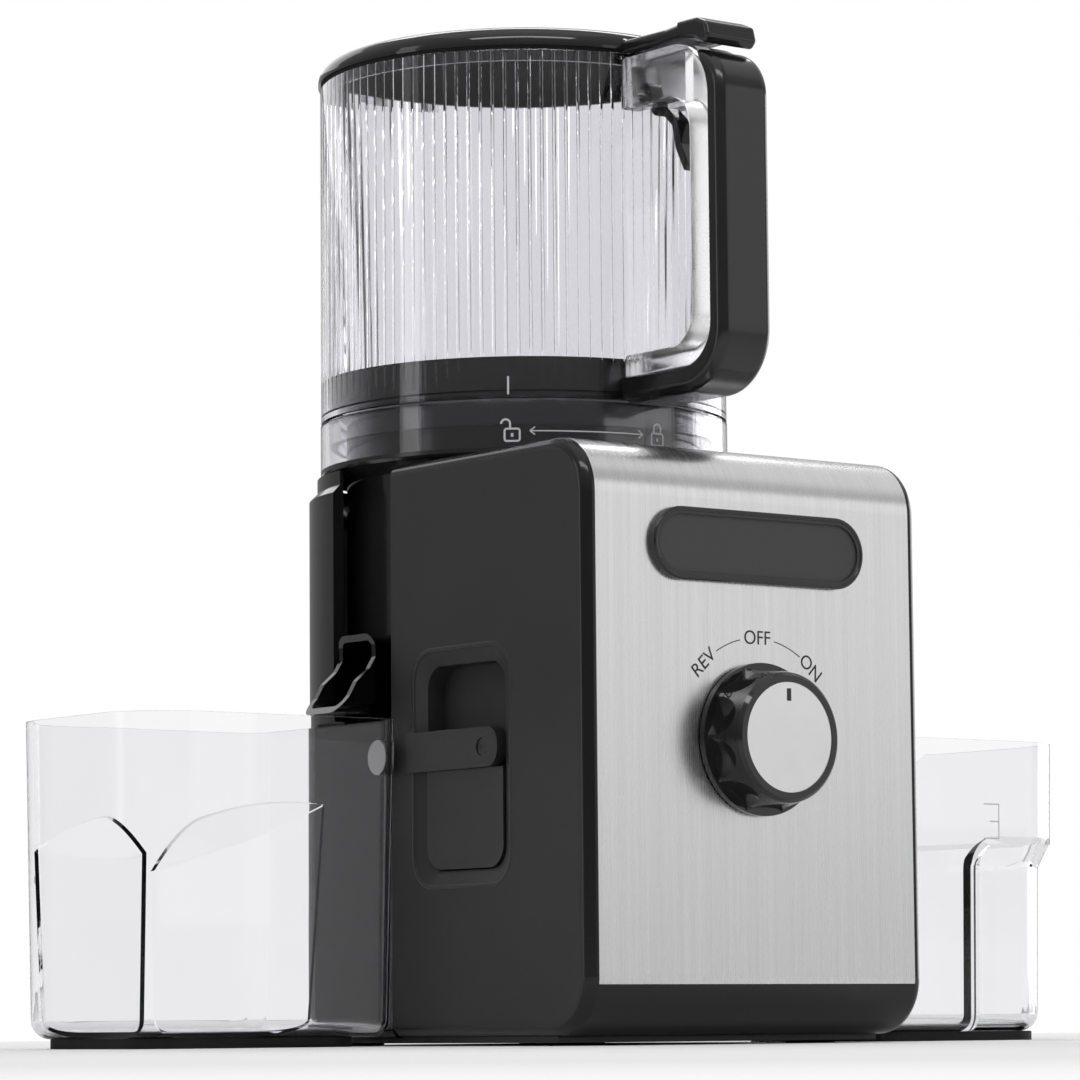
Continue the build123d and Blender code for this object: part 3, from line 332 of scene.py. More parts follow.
def shade(colour: Point3, share: float = 1.0) -> Colour:
    """A colour made darker or lighter by a share."""
    return (share * colour[0], share * colour[1], share * colour[2], 1.0)


@dataclass(frozen=True)
class Moulded:
    """Moulded plastic or rubber with a fine grain."""

    name: str
    colour: Point3
    rough: float
    grain: float = 2500.0
    relief: float = 0.00004
    gloss: float = 0.5

    def make(self, effects: Effects) -> bpy.types.Material:
        """Build the material.

        Args:
            effects: the shared node groups.

        Returns:
            The material.
        """
        sheet = Sheet(self.name, {"Specular IOR Level": self.gloss})
        grain = sheet.effect(effects.grain, {"Scale": self.grain})
        dark = shade(self.colour, 0.82)
        light = shade(self.colour, 1.18)
        sheet.feed("Base Color", sheet.graph.blend(grain["Tone"], dark, light))
        sheet.feed("Roughness", sheet.graph.span(grain["Height"], self.rough - 0.07, self.rough + 0.07))
        sheet.bump(grain["Height"], self.relief)
        return sheet.material


@dataclass(frozen=True)
class Polished:
    """Polished plastic with faint handling marks."""

    name: str
    colour: Point3
    rough: float = 0.09
    marks: float = 40.0

    def make(self, effects: Effects) -> bpy.types.Material:
        """Build the material.

        Args:
            effects: the shared node groups.

        Returns:
            The material.
        """
        sheet = Sheet(self.name, {"Specular IOR Level": 0.5, "IOR": 1.5})
        marks = sheet.effect(effects.smudge, {"Scale": self.marks})
        dark = shade(self.colour, 0.8)
        light = shade(self.colour, 1.2)
        sheet.feed("Base Color", sheet.graph.blend(marks["Marks"], dark, light))
        rough = sheet.graph.span(marks["Marks"], self.rough - 0.04, self.rough + 0.08, 0.3, 0.7)
        sheet.feed("Roughness", rough)
        sheet.bump(marks["Peel"], 0.00002, 0.12)
        return sheet.material


@dataclass(frozen=True)
class Clear:
    """Clear moulded plastic with a light tint that deepens where it is looked through lengthwise."""

    name: str
    tint: Point3
    rough: float = 0.02
    ior: float = 1.45
    density: float = 0.0
    depth_tint: Point3 = (0.5, 0.48, 0.56)

    def make(self, effects: Effects) -> bpy.types.Material:
        """Build the material.

        Args:
            effects: the shared node groups.

        Returns:
            The material.
        """
        values = {"Transmission Weight": 1.0, "IOR": self.ior, "Specular IOR Level": 0.5}
        sheet = Sheet(self.name, values)
        marks = sheet.effect(effects.smudge, {"Scale": 30.0})
        dark = shade(self.tint, 0.97)
        sheet.feed("Base Color", sheet.graph.blend(marks["Marks"], dark, shade(self.tint)))
        rough = sheet.graph.span(marks["Marks"], self.rough * 0.5, self.rough * 1.6, 0.3, 0.7)
        sheet.feed("Roughness", rough)
        if self.density:
            depth = {"Color": shade(self.depth_tint), "Density": self.density}
            body = sheet.graph.add("ShaderNodeVolumeAbsorption", depth).outputs[0]
            sheet.graph.tree.links.new(body, sheet.output.inputs["Volume"])
        return sheet.material


@dataclass(frozen=True)
class Brushed:
    """Metal with straight brushing."""

    name: str
    colour: Point3
    rough: float = 0.26
    across: float = 2200.0
    along: float = 9.0

    def make(self, effects: Effects) -> bpy.types.Material:
        """Build the material.

        Args:
            effects: the shared node groups.

        Returns:
            The material.
        """
        sheet = Sheet(self.name, {"Metallic": 1.0})
        brush = sheet.effect(effects.brush, {"Across": self.across, "Along": self.along})
        dark = shade(self.colour, 0.9)
        tone = sheet.graph.span(brush["Tone"], 0.0, 0.6, 0.3, 0.7)
        streak = sheet.graph.span(brush["Lines"], 0.0, 0.4, 0.3, 0.7)
        mask = sheet.graph.math("ADD", tone, streak, True)
        sheet.feed("Base Color", sheet.graph.blend(mask, dark, shade(self.colour)))
        rough = sheet.graph.span(brush["Lines"], self.rough + 0.07, self.rough - 0.07, 0.2, 0.8)
        sheet.feed("Roughness", rough)
        sheet.bump(brush["Lines"], 0.00002, 0.25)
        return sheet.material


@dataclass(frozen=True)
class Spun:
    """Metal disc finished on a lathe."""

    name: str
    colour: Point3
    height: float
    rough: float = 0.3

    def make(self, effects: Effects) -> bpy.types.Material:
        """Build the material.

        Args:
            effects: the shared node groups.

        Returns:
            The material.
        """
        sheet = Sheet(self.name, {"Metallic": 1.0})
        rings = sheet.effect(effects.turned, {"Height": self.height})
        dark = shade(self.colour, 0.93)
        sheet.feed("Base Color", sheet.graph.blend(rings["Tone"], dark, shade(self.colour)))
        sheet.feed("Roughness", sheet.graph.span(rings["Rings"], self.rough - 0.06, self.rough + 0.06))
        sheet.bump(rings["Rings"], 0.00001, 0.15)
        return sheet.material


@dataclass(frozen=True)
class HousingShell:
    """Matte side faces inside a polished black border."""

    name: str = "housing shell"
    side: float = 0.022
    border: float = 0.006
    edge_x: float = 0.07485
    pocket_y: Point2 = (-0.0605, 0.0005)
    pocket_z: Point2 = (0.0535, 0.1405)

    def make(self, effects: Effects) -> bpy.types.Material:
        """Build the material.

        Args:
            effects: the shared node groups.

        Returns:
            The material.
        """
        sheet = Sheet(self.name, {"Specular IOR Level": 0.4})
        graph = sheet.graph
        spot = sheet.place()
        flat = graph.math("GREATER_THAN", graph.math("ABSOLUTE", spot[0]), self.edge_x)
        inside: Feed = 1.0
        for socket, low, high in ((spot[1], *self.pocket_y), (spot[2], *self.pocket_z)):
            over = graph.math("GREATER_THAN", socket, low)
            under = graph.math("LESS_THAN", socket, high)
            inside = graph.math("MULTIPLY", inside, graph.math("MULTIPLY", over, under))
        matte = graph.math("MAXIMUM", flat, inside)
        grain = sheet.effect(effects.grain, {"Scale": 2600.0})
        tone = graph.blend(grain["Tone"], grey(0.88 * self.side), grey(1.12 * self.side))
        sheet.feed("Base Color", graph.blend(matte, grey(self.border), tone))
        rough = graph.span(grain["Height"], 0.44, 0.6)
        gloss = graph.span(grain["Tone"], 0.12, 0.2)
        level = graph.math("MULTIPLY", rough, matte)
        polish = graph.math("MULTIPLY", gloss, graph.math("SUBTRACT", 1.0, matte))
        sheet.feed("Roughness", graph.math("ADD", level, polish))
        sheet.bump(graph.math("MULTIPLY", grain["Height"], matte), 0.00005, 0.5)
        return sheet.material


@dataclass(frozen=True)
class BadgeField:
    """Dark grained field inside a polished rim."""

    name: str = "badge field"
    depth_y: float = -0.10405

    def make(self, effects: Effects) -> bpy.types.Material:
        """Build the material.

        Args:
            effects: the shared node groups.

        Returns:
            The material.
        """
        sheet = Sheet(self.name, {"Specular IOR Level": 0.5})
        graph = sheet.graph
        sunk = graph.math("GREATER_THAN", sheet.place()[1], self.depth_y)
        grain = sheet.effect(effects.grain, {"Scale": 1900.0})
        tone = graph.blend(grain["Height"], grey(0.03), grey(0.05))
        sheet.feed("Base Color", graph.blend(sunk, grey(0.008), tone))
        sheet.feed("Roughness", graph.span(sunk, 0.14, 0.5))
        sheet.bump(graph.math("MULTIPLY", grain["Height"], sunk), 0.00008, 0.6)
        return sheet.material


@dataclass
class Finishes:
    """Every material of the scene, made once."""

    effects: Effects = field(default_factory=Effects)

    def __post_init__(self) -> None:
        """Make the materials."""
        self.shell = HousingShell().make(self.effects)
        self.badge = BadgeField().make(self.effects)
        self.gloss = Polished("gloss black", (0.011, 0.011, 0.0115), 0.07).make(self.effects)
        self.drum = Polished("drum black", (0.017, 0.017, 0.0175), 0.12).make(self.effects)
        self.grip = Moulded("grip satin", (0.009, 0.009, 0.0095), 0.17, 3200.0, 0.00002).make(self.effects)
        self.satin = Moulded("satin black", (0.014, 0.014, 0.0145), 0.38, 2800.0).make(self.effects)
        self.rubber = Moulded("rubber", (0.012, 0.012, 0.012), 0.75, 1800.0, 0.00008, 0.3).make(self.effects)
        self.ink = Moulded("printed ink", (0.02, 0.02, 0.02), 0.5, 4000.0, 0.00001).make(self.effects)
        self.white_ink = Moulded("pale ink", (0.62, 0.62, 0.63), 0.5, 4000.0, 0.00001).make(self.effects)
        self.steel = Brushed("brushed steel", (0.7, 0.7, 0.705)).make(self.effects)
        self.fastener = Brushed("plated steel", (0.55, 0.55, 0.56), 0.3, 1200.0, 40.0).make(self.effects)
        self.machined = Brushed("machined steel", (0.46, 0.46, 0.47), 0.34, 900.0, 60.0).make(self.effects)
        self.cap = Spun("spun cap", (0.75, 0.75, 0.755), DIAL_Z).make(self.effects)
        self.keeper = Spun("keeper disc", (0.5, 0.5, 0.51), 0.102, 0.5).make(self.effects)
        self.board = Moulded("solder mask", (0.02, 0.14, 0.06), 0.35, 1500.0).make(self.effects)
        self.hopper = Clear("hopper clear", (0.86, 0.855, 0.885)).make(self.effects)
        self.frame = Clear("handle clear", (0.96, 0.96, 0.965), 0.2, 1.35).make(self.effects)
        self.cup = Clear("container clear", (0.978, 0.978, 0.984), 0.02, 1.3, 20.0).make(self.effects)
        self.smoke = Clear("spout smoke", (0.03, 0.03, 0.033), 0.16).make(self.effects)


def dress(node: str, material: bpy.types.Material) -> None:
    """Give a CAD node its material.

    Args:
        node: the node's name.
        material: the finish.
    """
    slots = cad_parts[node].data.materials
    slots.clear()
    slots.append(material)


def mesh_piece(name: str, points: Sequence[Point3], faces: Sequence[Sequence[int]],
               material: bpy.types.Material, sharp: float = 35.0) -> bpy.types.Object:
    """Make a mesh object.

    Args:
        name: the piece's name.
        points: corners in metres.
        faces: corner numbers of each face.
        material: the finish.
        sharp: edges over this angle, in degrees, stay sharp.

    Returns:
        The new object.
    """
    mesh = bpy.data.meshes.new(name)
    mesh.from_pydata(points, [], faces)
    mesh.validate()
    mesh.shade_smooth()
    mesh.set_sharp_from_angle(angle=math.radians(sharp))
    mesh.materials.append(material)
    piece = bpy.data.objects.new(name, mesh)
    bpy.context.scene.collection.objects.link(piece)
    return piece


def settle(piece: bpy.types.Object, body: Body, slot: Slot, replaced: Iterable[str] = ()) -> None:
    """Tie a new piece to its body and hide the nodes it stands for.

    Args:
        piece: the new object.
        body: the CAD body that it moves with.
        slot: not used.
        replaced: the CAD nodes that it stands for.
    """
    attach(piece, body.value)
    names = list(replaced)
    if names:
        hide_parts(*names)
    log.info("piece %s rides on %s, %d corners", piece.name, body.value, len(piece.data.vertices))


def arc(radius: float, start: float, end: float, steps: int, centre: Point2 = (0.0, 0.0)) -> list[Point2]:
    """Points along an arc.

    Args:
        radius: the arc's radius.
        start: first angle in degrees, anticlockwise from the first axis.
        end: last angle in degrees.
        steps: number of runs.
        centre: the arc's centre.

    Returns:
        The points.
    """
    turns = [math.radians(start + (end - start) * step / steps) for step in range(steps + 1)]
    return [(centre[0] + radius * math.cos(turn), centre[1] + radius * math.sin(turn)) for turn in turns]


def ribbon(path: Sequence[Point2], width: float, depth: float, place: Place, closed: bool = False,
           profile: Sequence[Point2] = FLAT) -> Strip:
    """A closed thin strip along a flat path, laid on a surface.

    Args:
        path: points on the surface.
        width: the strip's width.
        depth: how far it stands out.
        place: turns surface coordinates and a height into a point.
        closed: join the last point to the first.
        profile: the strip's section, in shares of half its width and of its height.

    Returns:
        The strip's corners and faces.
    """
    count = len(path)
    ring = len(profile)
    points: list[Point3] = []
    for index, (u, v) in enumerate(path):
        before = path[index - 1] if index or closed else path[index]
        after = path[(index + 1) % count] if index < count - 1 or closed else path[index]
        run = math.hypot(after[0] - before[0], after[1] - before[1])
        side = (-(after[1] - before[1]) / run * width / 2, (after[0] - before[0]) / run * width / 2)
        for share, rise in profile:
            points.append(place(u + share * side[0], v + share * side[1], rise * depth))
    faces: list[list[int]] = []
    for index in range(count if closed else count - 1):
        here = ring * index
        there = ring * ((index + 1) % count)
        for edge in range(ring):
            turn = (edge + 1) % ring
            faces.append([here + edge, there + edge, there + turn, here + turn])
    if not closed:
        last = ring * (count - 1)
        faces += [list(range(ring)), list(range(last, last + ring))[::-1]]
    return points, faces


def rounded_box(centre: Point2, size: Point2, radius: float) -> list[Point2]:
    """Outline of a rectangle with round corners.

    Args:
        centre: its middle.
        size: its width and height.
        radius: the corners' radius.

    Returns:
        The outline's points, anticlockwise.
    """
    half = (size[0] / 2 - radius, size[1] / 2 - radius)
    path: list[Point2] = []
    for start, u, v in ((270, 1, -1), (0, 1, 1), (90, -1, 1), (180, -1, -1)):
        path += arc(radius, start, start + 90, 10, (centre[0] + u * half[0], centre[1] + v * half[1]))
    return path


def joined(strips: Iterable[Strip]) -> Strip:
    """Put several strips into one list of corners and faces.

    Args:
        strips: the corners and faces of each.

    Returns:
        All corners and faces.
    """
    points: list[Point3] = []
    faces: list[list[int]] = []
    for corners, sides in strips:
        start = len(points)
        points += corners
        faces += [[start + corner for corner in side] for side in sides]
    return points, faces


def round_wall(radius: float, along: float, rise: float, height: float) -> Point3:
    """Point over an upright round wall about the drum's axis.

    Args:
        radius: the wall's radius.
        along: length of arc from the front.
        rise: the point's height above the floor.
        height: how far it stands out.

    Returns:
        The point.
    """
    turn = along / radius
    reach = radius + PRINT_GAP + height
    return (reach * math.sin(turn), AXIS_Y - reach * math.cos(turn), rise)


@dataclass
class Studio:
    """Camera, floor, backdrop and soft lights."""

    focal: float = 147.667
    sensor: float = 36.0
    turn: float = 0.6459
    distance: float = 1.6378
    shift: float = 0.00565
    height: float = 0.00822
    pitch: float = 0.1083
    roll: float = -0.0082
    sheet_edge: Point2 = (0.1, 0.5)
    glossy_share: Point2 = (0.03, 0.25)
    glossy_rise: Point2 = (0.12, 0.5)
    glossy_back: float = 0.06
    room_tones: Point2 = (0.1, 0.5)
    room_rise: Point2 = (-0.2, 0.9)
    floor_half: float = 6.0
    floor_tones: Point2 = (0.85, 0.87)
    floor_lift: Point2 = (0.0, 0.9)
    floor_reach: Point2 = (0.7, 2.2)
    aim_z: float = 0.18
    lamps: tuple = (
        ("key", (1.5, -2.3, 0.7), (2.4, 1.2), 6.9),
        ("high key", (1.9, -0.1, 1.9), (2.6, 1.2), 3.0),
        ("top", (-0.3, -0.3, 2.2), (2.0, 1.4), 3.0),
        ("top strip", (-0.75, -1.0, 1.55), (1.6, 0.3), 9.0),
        ("top back", (0.7, 0.95, 1.85), (1.4, 0.5), 12.0),
        ("right", (2.2, 0.2, 0.4), (1.5, 0.9), 10.0),
        ("left strip", (-2.2, 0.55, 0.7), (0.5, 1.4), 3.0),
        ("back", (0.3, 2.4, 1.6), (2.2, 1.2), 10.0),
    )

    def build(self) -> None:
        """Set the whole studio up."""
        self.camera()
        self.backdrop()
        self.floor()
        for name, spot, size, power in self.lamps:
            self.lamp(name, spot, size, power)

    def camera(self) -> None:
        """Place the camera at the photograph's low viewpoint."""
        towards = Vector((-math.sin(self.turn), -math.cos(self.turn), 0.0))
        right = Vector((math.cos(self.turn), -math.sin(self.turn), 0.0))
        rise = Vector((0.0, 0.0, 1.0))
        ahead = -towards * math.cos(self.pitch) + rise * math.sin(self.pitch)
        above = towards * math.sin(self.pitch) + rise * math.cos(self.pitch)
        across = right * math.cos(self.roll) + above * math.sin(self.roll)
        upright = -right * math.sin(self.roll) + above * math.cos(self.roll)
        spot = towards * self.distance + right * self.shift + rise * self.height + Vector((0.0, AXIS_Y, 0.0))
        data = bpy.data.cameras.new("camera")
        data.lens = self.focal
        data.sensor_width = self.sensor
        data.clip_start = 0.01
        camera = bpy.data.objects.new("camera", data)
        turned = Matrix((across, upright, -ahead)).transposed().to_4x4()
        camera.matrix_world = Matrix.Translation(spot) @ turned
        bpy.context.scene.collection.objects.link(camera)
        bpy.context.scene.camera = camera

    def backdrop(self) -> None:
        """White sheet behind the object, seen in glass and gloss too, and a soft grey room elsewhere."""
        world = bpy.data.worlds.new("room")
        bpy.context.scene.world = world
        world.use_nodes = True
        graph = Graph(world.node_tree)
        path = graph.add("ShaderNodeLightPath").outputs
        ray = graph.add("ShaderNodeTexCoord").outputs["Generated"]
        lift = graph.add("ShaderNodeSeparateXYZ", {0: ray}).outputs[2]
        away = {0: ray, 1: (math.sin(self.turn), math.cos(self.turn), 0.0)}
        facing = graph.add("ShaderNodeVectorMath", away, operation="DOT_PRODUCT").outputs["Value"]
        sheet = graph.span(facing, 0.0, 1.0, *self.sheet_edge)
        direct = graph.math("LESS_THAN", path["Glossy Depth"], 0.5)
        clear = graph.math("MAXIMUM", direct, sheet)
        through = graph.math("MULTIPLY", path["Is Transmission Ray"], clear)
        seen = graph.math("MAXIMUM", path["Is Camera Ray"], through)
        share = graph.span(lift, *self.glossy_share, *self.glossy_rise)
        share = graph.math("MAXIMUM", share, graph.math("MULTIPLY", sheet, self.glossy_back))
        shine = graph.math("MULTIPLY", path["Is Glossy Ray"], share)
        white = graph.math("MAXIMUM", seen, shine)
        dim, bright = (grey(tone) for tone in self.room_tones)
        room = graph.blend(graph.span(lift, 0.0, 1.0, *self.room_rise), dim, bright)
        background = graph.add("ShaderNodeBackground", {"Color": graph.blend(white, room, WHITE)})
        graph.add("ShaderNodeOutputWorld", {"Surface": background.outputs[0]})

    def floor(self) -> None:
        """Pale floor that keeps the object's shadow."""
        sheet = Sheet("pale floor", {"Roughness": 0.9, "Specular IOR Level": 0.0})
        graph = sheet.graph
        spot = graph.add("ShaderNodeTexCoord").outputs["Object"]
        grain = graph.noise(spot, 300.0)
        dark, light = (grey(tone) for tone in self.floor_tones)
        sheet.feed("Base Color", graph.blend(grain, dark, light))
        reach = graph.add("ShaderNodeVectorMath", {0: spot}, operation="LENGTH").outputs["Value"]
        lift = graph.span(reach, *self.floor_lift, *self.floor_reach)
        camera = graph.add("ShaderNodeLightPath").outputs["Is Camera Ray"]
        sheet.feed("Emission Strength", graph.math("MULTIPLY", camera, lift))
        sheet.shader.inputs["Emission Color"].default_value = WHITE
        side = self.floor_half
        corners = [(-side, -side, 0.0), (side, -side, 0.0), (side, side, 0.0), (-side, side, 0.0)]
        mesh_piece("floor", corners, [[0, 1, 2, 3]], sheet.material)

    def lamp(self, name: str, spot: Point3, size: Point2, power: float) -> None:
        """Add one soft lamp that faces the object.

        Args:
            name: the lamp's name.
            spot: its place.
            size: its width and height.
            power: its power in watts.
        """
        data = bpy.data.lights.new(name, "AREA")
        data.shape = "RECTANGLE"
        data.size = size[0]
        data.size_y = size[1]
        data.energy = power
        lamp = bpy.data.objects.new(name, data)
        aim = Vector((0.0, AXIS_Y, self.aim_z)) - Vector(spot)
        lamp.matrix_world = Matrix.Translation(spot) @ aim.to_track_quat("-Z", "Y").to_matrix().to_4x4()
        bpy.context.scene.collection.objects.link(lamp)


@dataclass
class Housing:
    """Body of the machine with its steel front and dial signs."""

    sign_r: float = 0.0352
    sign_size: float = 0.0069
    signs: tuple = (("REV", -43.0), ("OFF", 0.0), ("ON", 43.0))
    arcs: tuple = ((-31.5, -12.5), (12.5, 33.0))
    line: float = 0.00035
    print_depth: float = 0.00004
    print_gap: float = 0.00001
    badge: Point3 = (0.0926, 0.0236, 0.171)
    badge_face_y: float = -0.1044
    rim: Point2 = (0.0016, 0.0006)
    pocket: tuple = ((-0.03, 0.097), (0.0575, 0.0835), 0.0108)
    bead: Point2 = (0.0017, 0.0004)

    def on_front(self, u: float, v: float, height: float) -> Point3:
        """Point over the steel front, about the dial's centre."""
        return (u, FRONT_Y - self.print_gap - height, DIAL_Z + v)

    def on_badge(self, u: float, v: float, height: float) -> Point3:
        """Point over the badge's rim, about the badge's centre."""
        return (u, self.badge_face_y + BEAD_SINK - height, self.badge[2] + v)

    def dress(self, finishes: Finishes) -> None:
        """Give the body's nodes their finishes.

        Args:
            finishes: the scene's materials.
        """
        dress("front_housing", finishes.shell)
        dress("front_panel", finishes.steel)
        dress("badge_plate", finishes.badge)
        dress("rear_housing", finishes.gloss)
        for node in ("bottom_cover", "dock_bracket_left", "dock_bracket_right", "motor_end_cap",
                     "rotary_switch", "board_components"):
            dress(node, finishes.satin)
        for node in ("rubber_feet", "cord_gland", "shaft_seal"):
            dress(node, finishes.rubber)
        for node in ("cover_screws", "plate_screws", "switch_nut", "lower_bearing", "upper_bearing"):
            dress(node, finishes.fastener)
        for node in ("motor_can", "motor_plate"):
            dress(node, finishes.machined)
        dress("dock_screws", finishes.gloss)
        dress("control_board", finishes.board)

    def build(self, finishes: Finishes) -> None:
        """Print the dial's signs on the steel.

        Args:
            finishes: the scene's materials.
        """
        for word, angle in self.signs:
            self.sign(word, angle, finishes.ink)
        strips = []
        for start, end in self.arcs:
            path = arc(self.sign_r, 90.0 - start, 90.0 - end, 24)
            strips.append(ribbon(path, self.line, self.print_depth, self.on_front))
        piece = mesh_piece("dial_arcs", *joined(strips), finishes.ink)
        settle(piece, Body.HOUSING, Slot.GLOSS)
        pill = rounded_box((0.0, 0.0), self.badge[:2], self.badge[1] / 2)
        strip = ribbon(pill, *self.rim, self.on_badge, True, BEAD)
        settle(mesh_piece("badge_rim", *strip, finishes.gloss), Body.HOUSING, Slot.GLOSS)
        for name, side in (("left", -1), ("right", 1)):
            self.pocket_bead(name, side, finishes.satin)

    def pocket_bead(self, name: str, side: int, material: bpy.types.Material) -> None:
        """Round the edge of one docking pocket's lip with a low bead.

        Args:
            name: which pocket it is.
            side: -1 or 1.
            material: the bead's finish.
        """
        def on_side(u: float, v: float, height: float) -> Point3:
            """Point over the side wall."""
            return (side * (SIDE_X - BEAD_SINK + height), u, v)

        strip = ribbon(rounded_box(*self.pocket), *self.bead, on_side, True, BEAD)
        settle(mesh_piece("pocket_bead_" + name, *strip, material), Body.HOUSING, Slot.GLOSS)

    def sign(self, word: str, angle: float, material: bpy.types.Material) -> None:
        """Print one word round the dial.

        Args:
            word: the lettering.
            angle: its place in degrees, clockwise from the top.
            material: the ink.
        """
        curve = bpy.data.curves.new("sign", "FONT")
        curve.body = word
        curve.size = self.sign_size
        curve.align_x = "CENTER"
        curve.align_y = "CENTER"
        curve.extrude = self.print_depth
        maker = bpy.data.objects.new("sign", curve)
        bpy.context.scene.collection.objects.link(maker)
        bpy.context.view_layer.update()
        mesh = bpy.data.meshes.new_from_object(maker)
        bpy.data.objects.remove(maker)
        turn = math.radians(angle)
        across = Vector((math.cos(turn), 0.0, -math.sin(turn)))
        upright = Vector((math.sin(turn), 0.0, math.cos(turn)))
        out = Vector((0.0, -1.0, 0.0))
        spot = Vector((0.0, FRONT_Y - self.print_depth, DIAL_Z)) + upright * self.sign_r
        mesh.transform(Matrix.Translation(spot) @ Matrix((across, upright, out)).transposed().to_4x4())
        mesh.materials.clear()
        mesh.materials.append(material)
        piece = bpy.data.objects.new("sign_" + word.lower(), mesh)
        bpy.context.scene.collection.objects.link(piece)
        settle(piece, Body.HOUSING, Slot.GLOSS)


@dataclass
class Dial:
    """Turning knob with a metal cap."""

    face_y: float = -0.1187
    mark: tuple = (0.0125, 0.0168)
    mark_width: float = 0.0018
    mark_depth: float = 0.0001

    def dress(self, finishes: Finishes) -> None:
        """Give the knob's nodes their finishes.

        Args:
            finishes: the scene's materials.
        """
        dress("knob_skirt", finishes.gloss)
        dress("knob_cap", finishes.cap)
        dress("knob_spindle", finishes.fastener)

    def on_cap(self, u: float, v: float, height: float) -> Point3:
        """Point over the cap's face."""
        return (u, self.face_y - height, DIAL_Z + v)

    def build(self, finishes: Finishes) -> None:
        """Add the pointer mark.

        Args:
            finishes: the scene's materials.
        """
        path = [(0.0, self.mark[0]), (0.0, self.mark[1])]
        strip = ribbon(path, self.mark_width, self.mark_depth, self.on_cap)
        piece = mesh_piece("dial_mark", *strip, finishes.ink)
        settle(piece, Body.DIAL, Slot.GLOSS)


@dataclass
class Drum:
    """Drum, spouts and the signs on its collar."""

    radius: float = 0.0757
    sign_z: float = 0.2172
    lock_at: float = 2.4
    unlock_at: float = -40.0
    arrow: Point2 = (-35.2, -2.6)
    arrow_line: float = 0.00042
    barb: Point2 = (0.00182, 0.0014)
    case: tuple = (0.0027, -0.0036, 0.0008)
    case_r: float = 0.0008
    shackle_r: float = 0.0016
    shackle_rise: float = 0.0018
    shackle_swing: float = -0.0023
    keyhole: Point2 = (-0.0008, -0.0021)
    keyhole_line: float = 0.00091
    line: float = 0.0007
    print_depth: float = 0.00005

    def on_collar(self, u: float, v: float, height: float) -> Point3:
        """Point over the collar, by the arc's length from the front and the height."""
        return round_wall(self.radius, u, self.sign_z + v, height)

    def dress(self, finishes: Finishes) -> None:
        """Give the drum's and the drive's nodes their finishes.

        Args:
            finishes: the scene's materials.
        """
        dress("juicing_drum", finishes.drum)
        dress("drum_collar", finishes.hopper)
        for node in ("pulp_spout", "juice_spout"):
            dress(node, finishes.smoke)
        for node in ("strainer_frame", "juicing_screw", "feed_head"):
            dress(node, finishes.satin)
        for node in ("strainer_mesh", "feed_blade"):
            dress(node, finishes.fastener)
        for node in ("hub_seal", "pulp_plug"):
            dress(node, finishes.rubber)
        for node in ("drive_gear", "drive_shaft", "motor_pinion", "motor_shaft"):
            dress(node, finishes.machined)

    def padlock(self, angle: float, is_open: bool) -> list[Strip]:
        """Outline of a padlock on the collar.

        Args:
            angle: its place in degrees from the front.
            is_open: swing the shackle aside.

        Returns:
            The strips that draw it.
        """
        middle = math.radians(angle) * self.radius
        half, low, high = self.case
        corner = self.case_r
        case: list[Point2] = []
        for turn, u, v in ((180, middle - half, low), (270, middle + half, low), (0, middle + half, high),
                           (90, middle - half, high)):
            centre = (u + (corner if u < middle else -corner), v + (corner if v < 0 else -corner))
            case += arc(corner, turn, turn + 90, 5, centre)
        side = middle + (self.shackle_swing if is_open else 0.0)
        bow = arc(self.shackle_r, 0.0, 180.0, 14, (side, high + self.shackle_rise))
        shackle = [(side + self.shackle_r, high)] + bow
        if not is_open:
            shackle.append((side - self.shackle_r, high))
        hole = [(middle, rise) for rise in self.keyhole]
        strips = [ribbon(case, self.line, self.print_depth, self.on_collar, True)]
        strips.append(ribbon(shackle, self.line, self.print_depth, self.on_collar))
        strips.append(ribbon(hole, self.keyhole_line, self.print_depth, self.on_collar))
        return strips

    def build(self, finishes: Finishes) -> None:
        """Print the lock signs and the arrow between them.

        Args:
            finishes: the scene's materials.
        """
        strips = self.padlock(self.lock_at, False) + self.padlock(self.unlock_at, True)
        start, end = (math.radians(angle) * self.radius for angle in self.arrow)
        runs = 24
        shaft = [(start + (end - start) * step / runs, 0.0) for step in range(runs + 1)]
        strips.append(ribbon(shaft, self.arrow_line, self.print_depth, self.on_collar))
        for tip, turn in ((start, 1), (end, -1)):
            for side in (-1, 1):
                head = [(tip, 0.0), (tip + turn * self.barb[0], side * self.barb[1])]
                strips.append(ribbon(head, self.arrow_line, self.print_depth, self.on_collar))
        piece = mesh_piece("collar_signs", *joined(strips), finishes.white_ink)
        settle(piece, Body.DRUM, Slot.METAL)


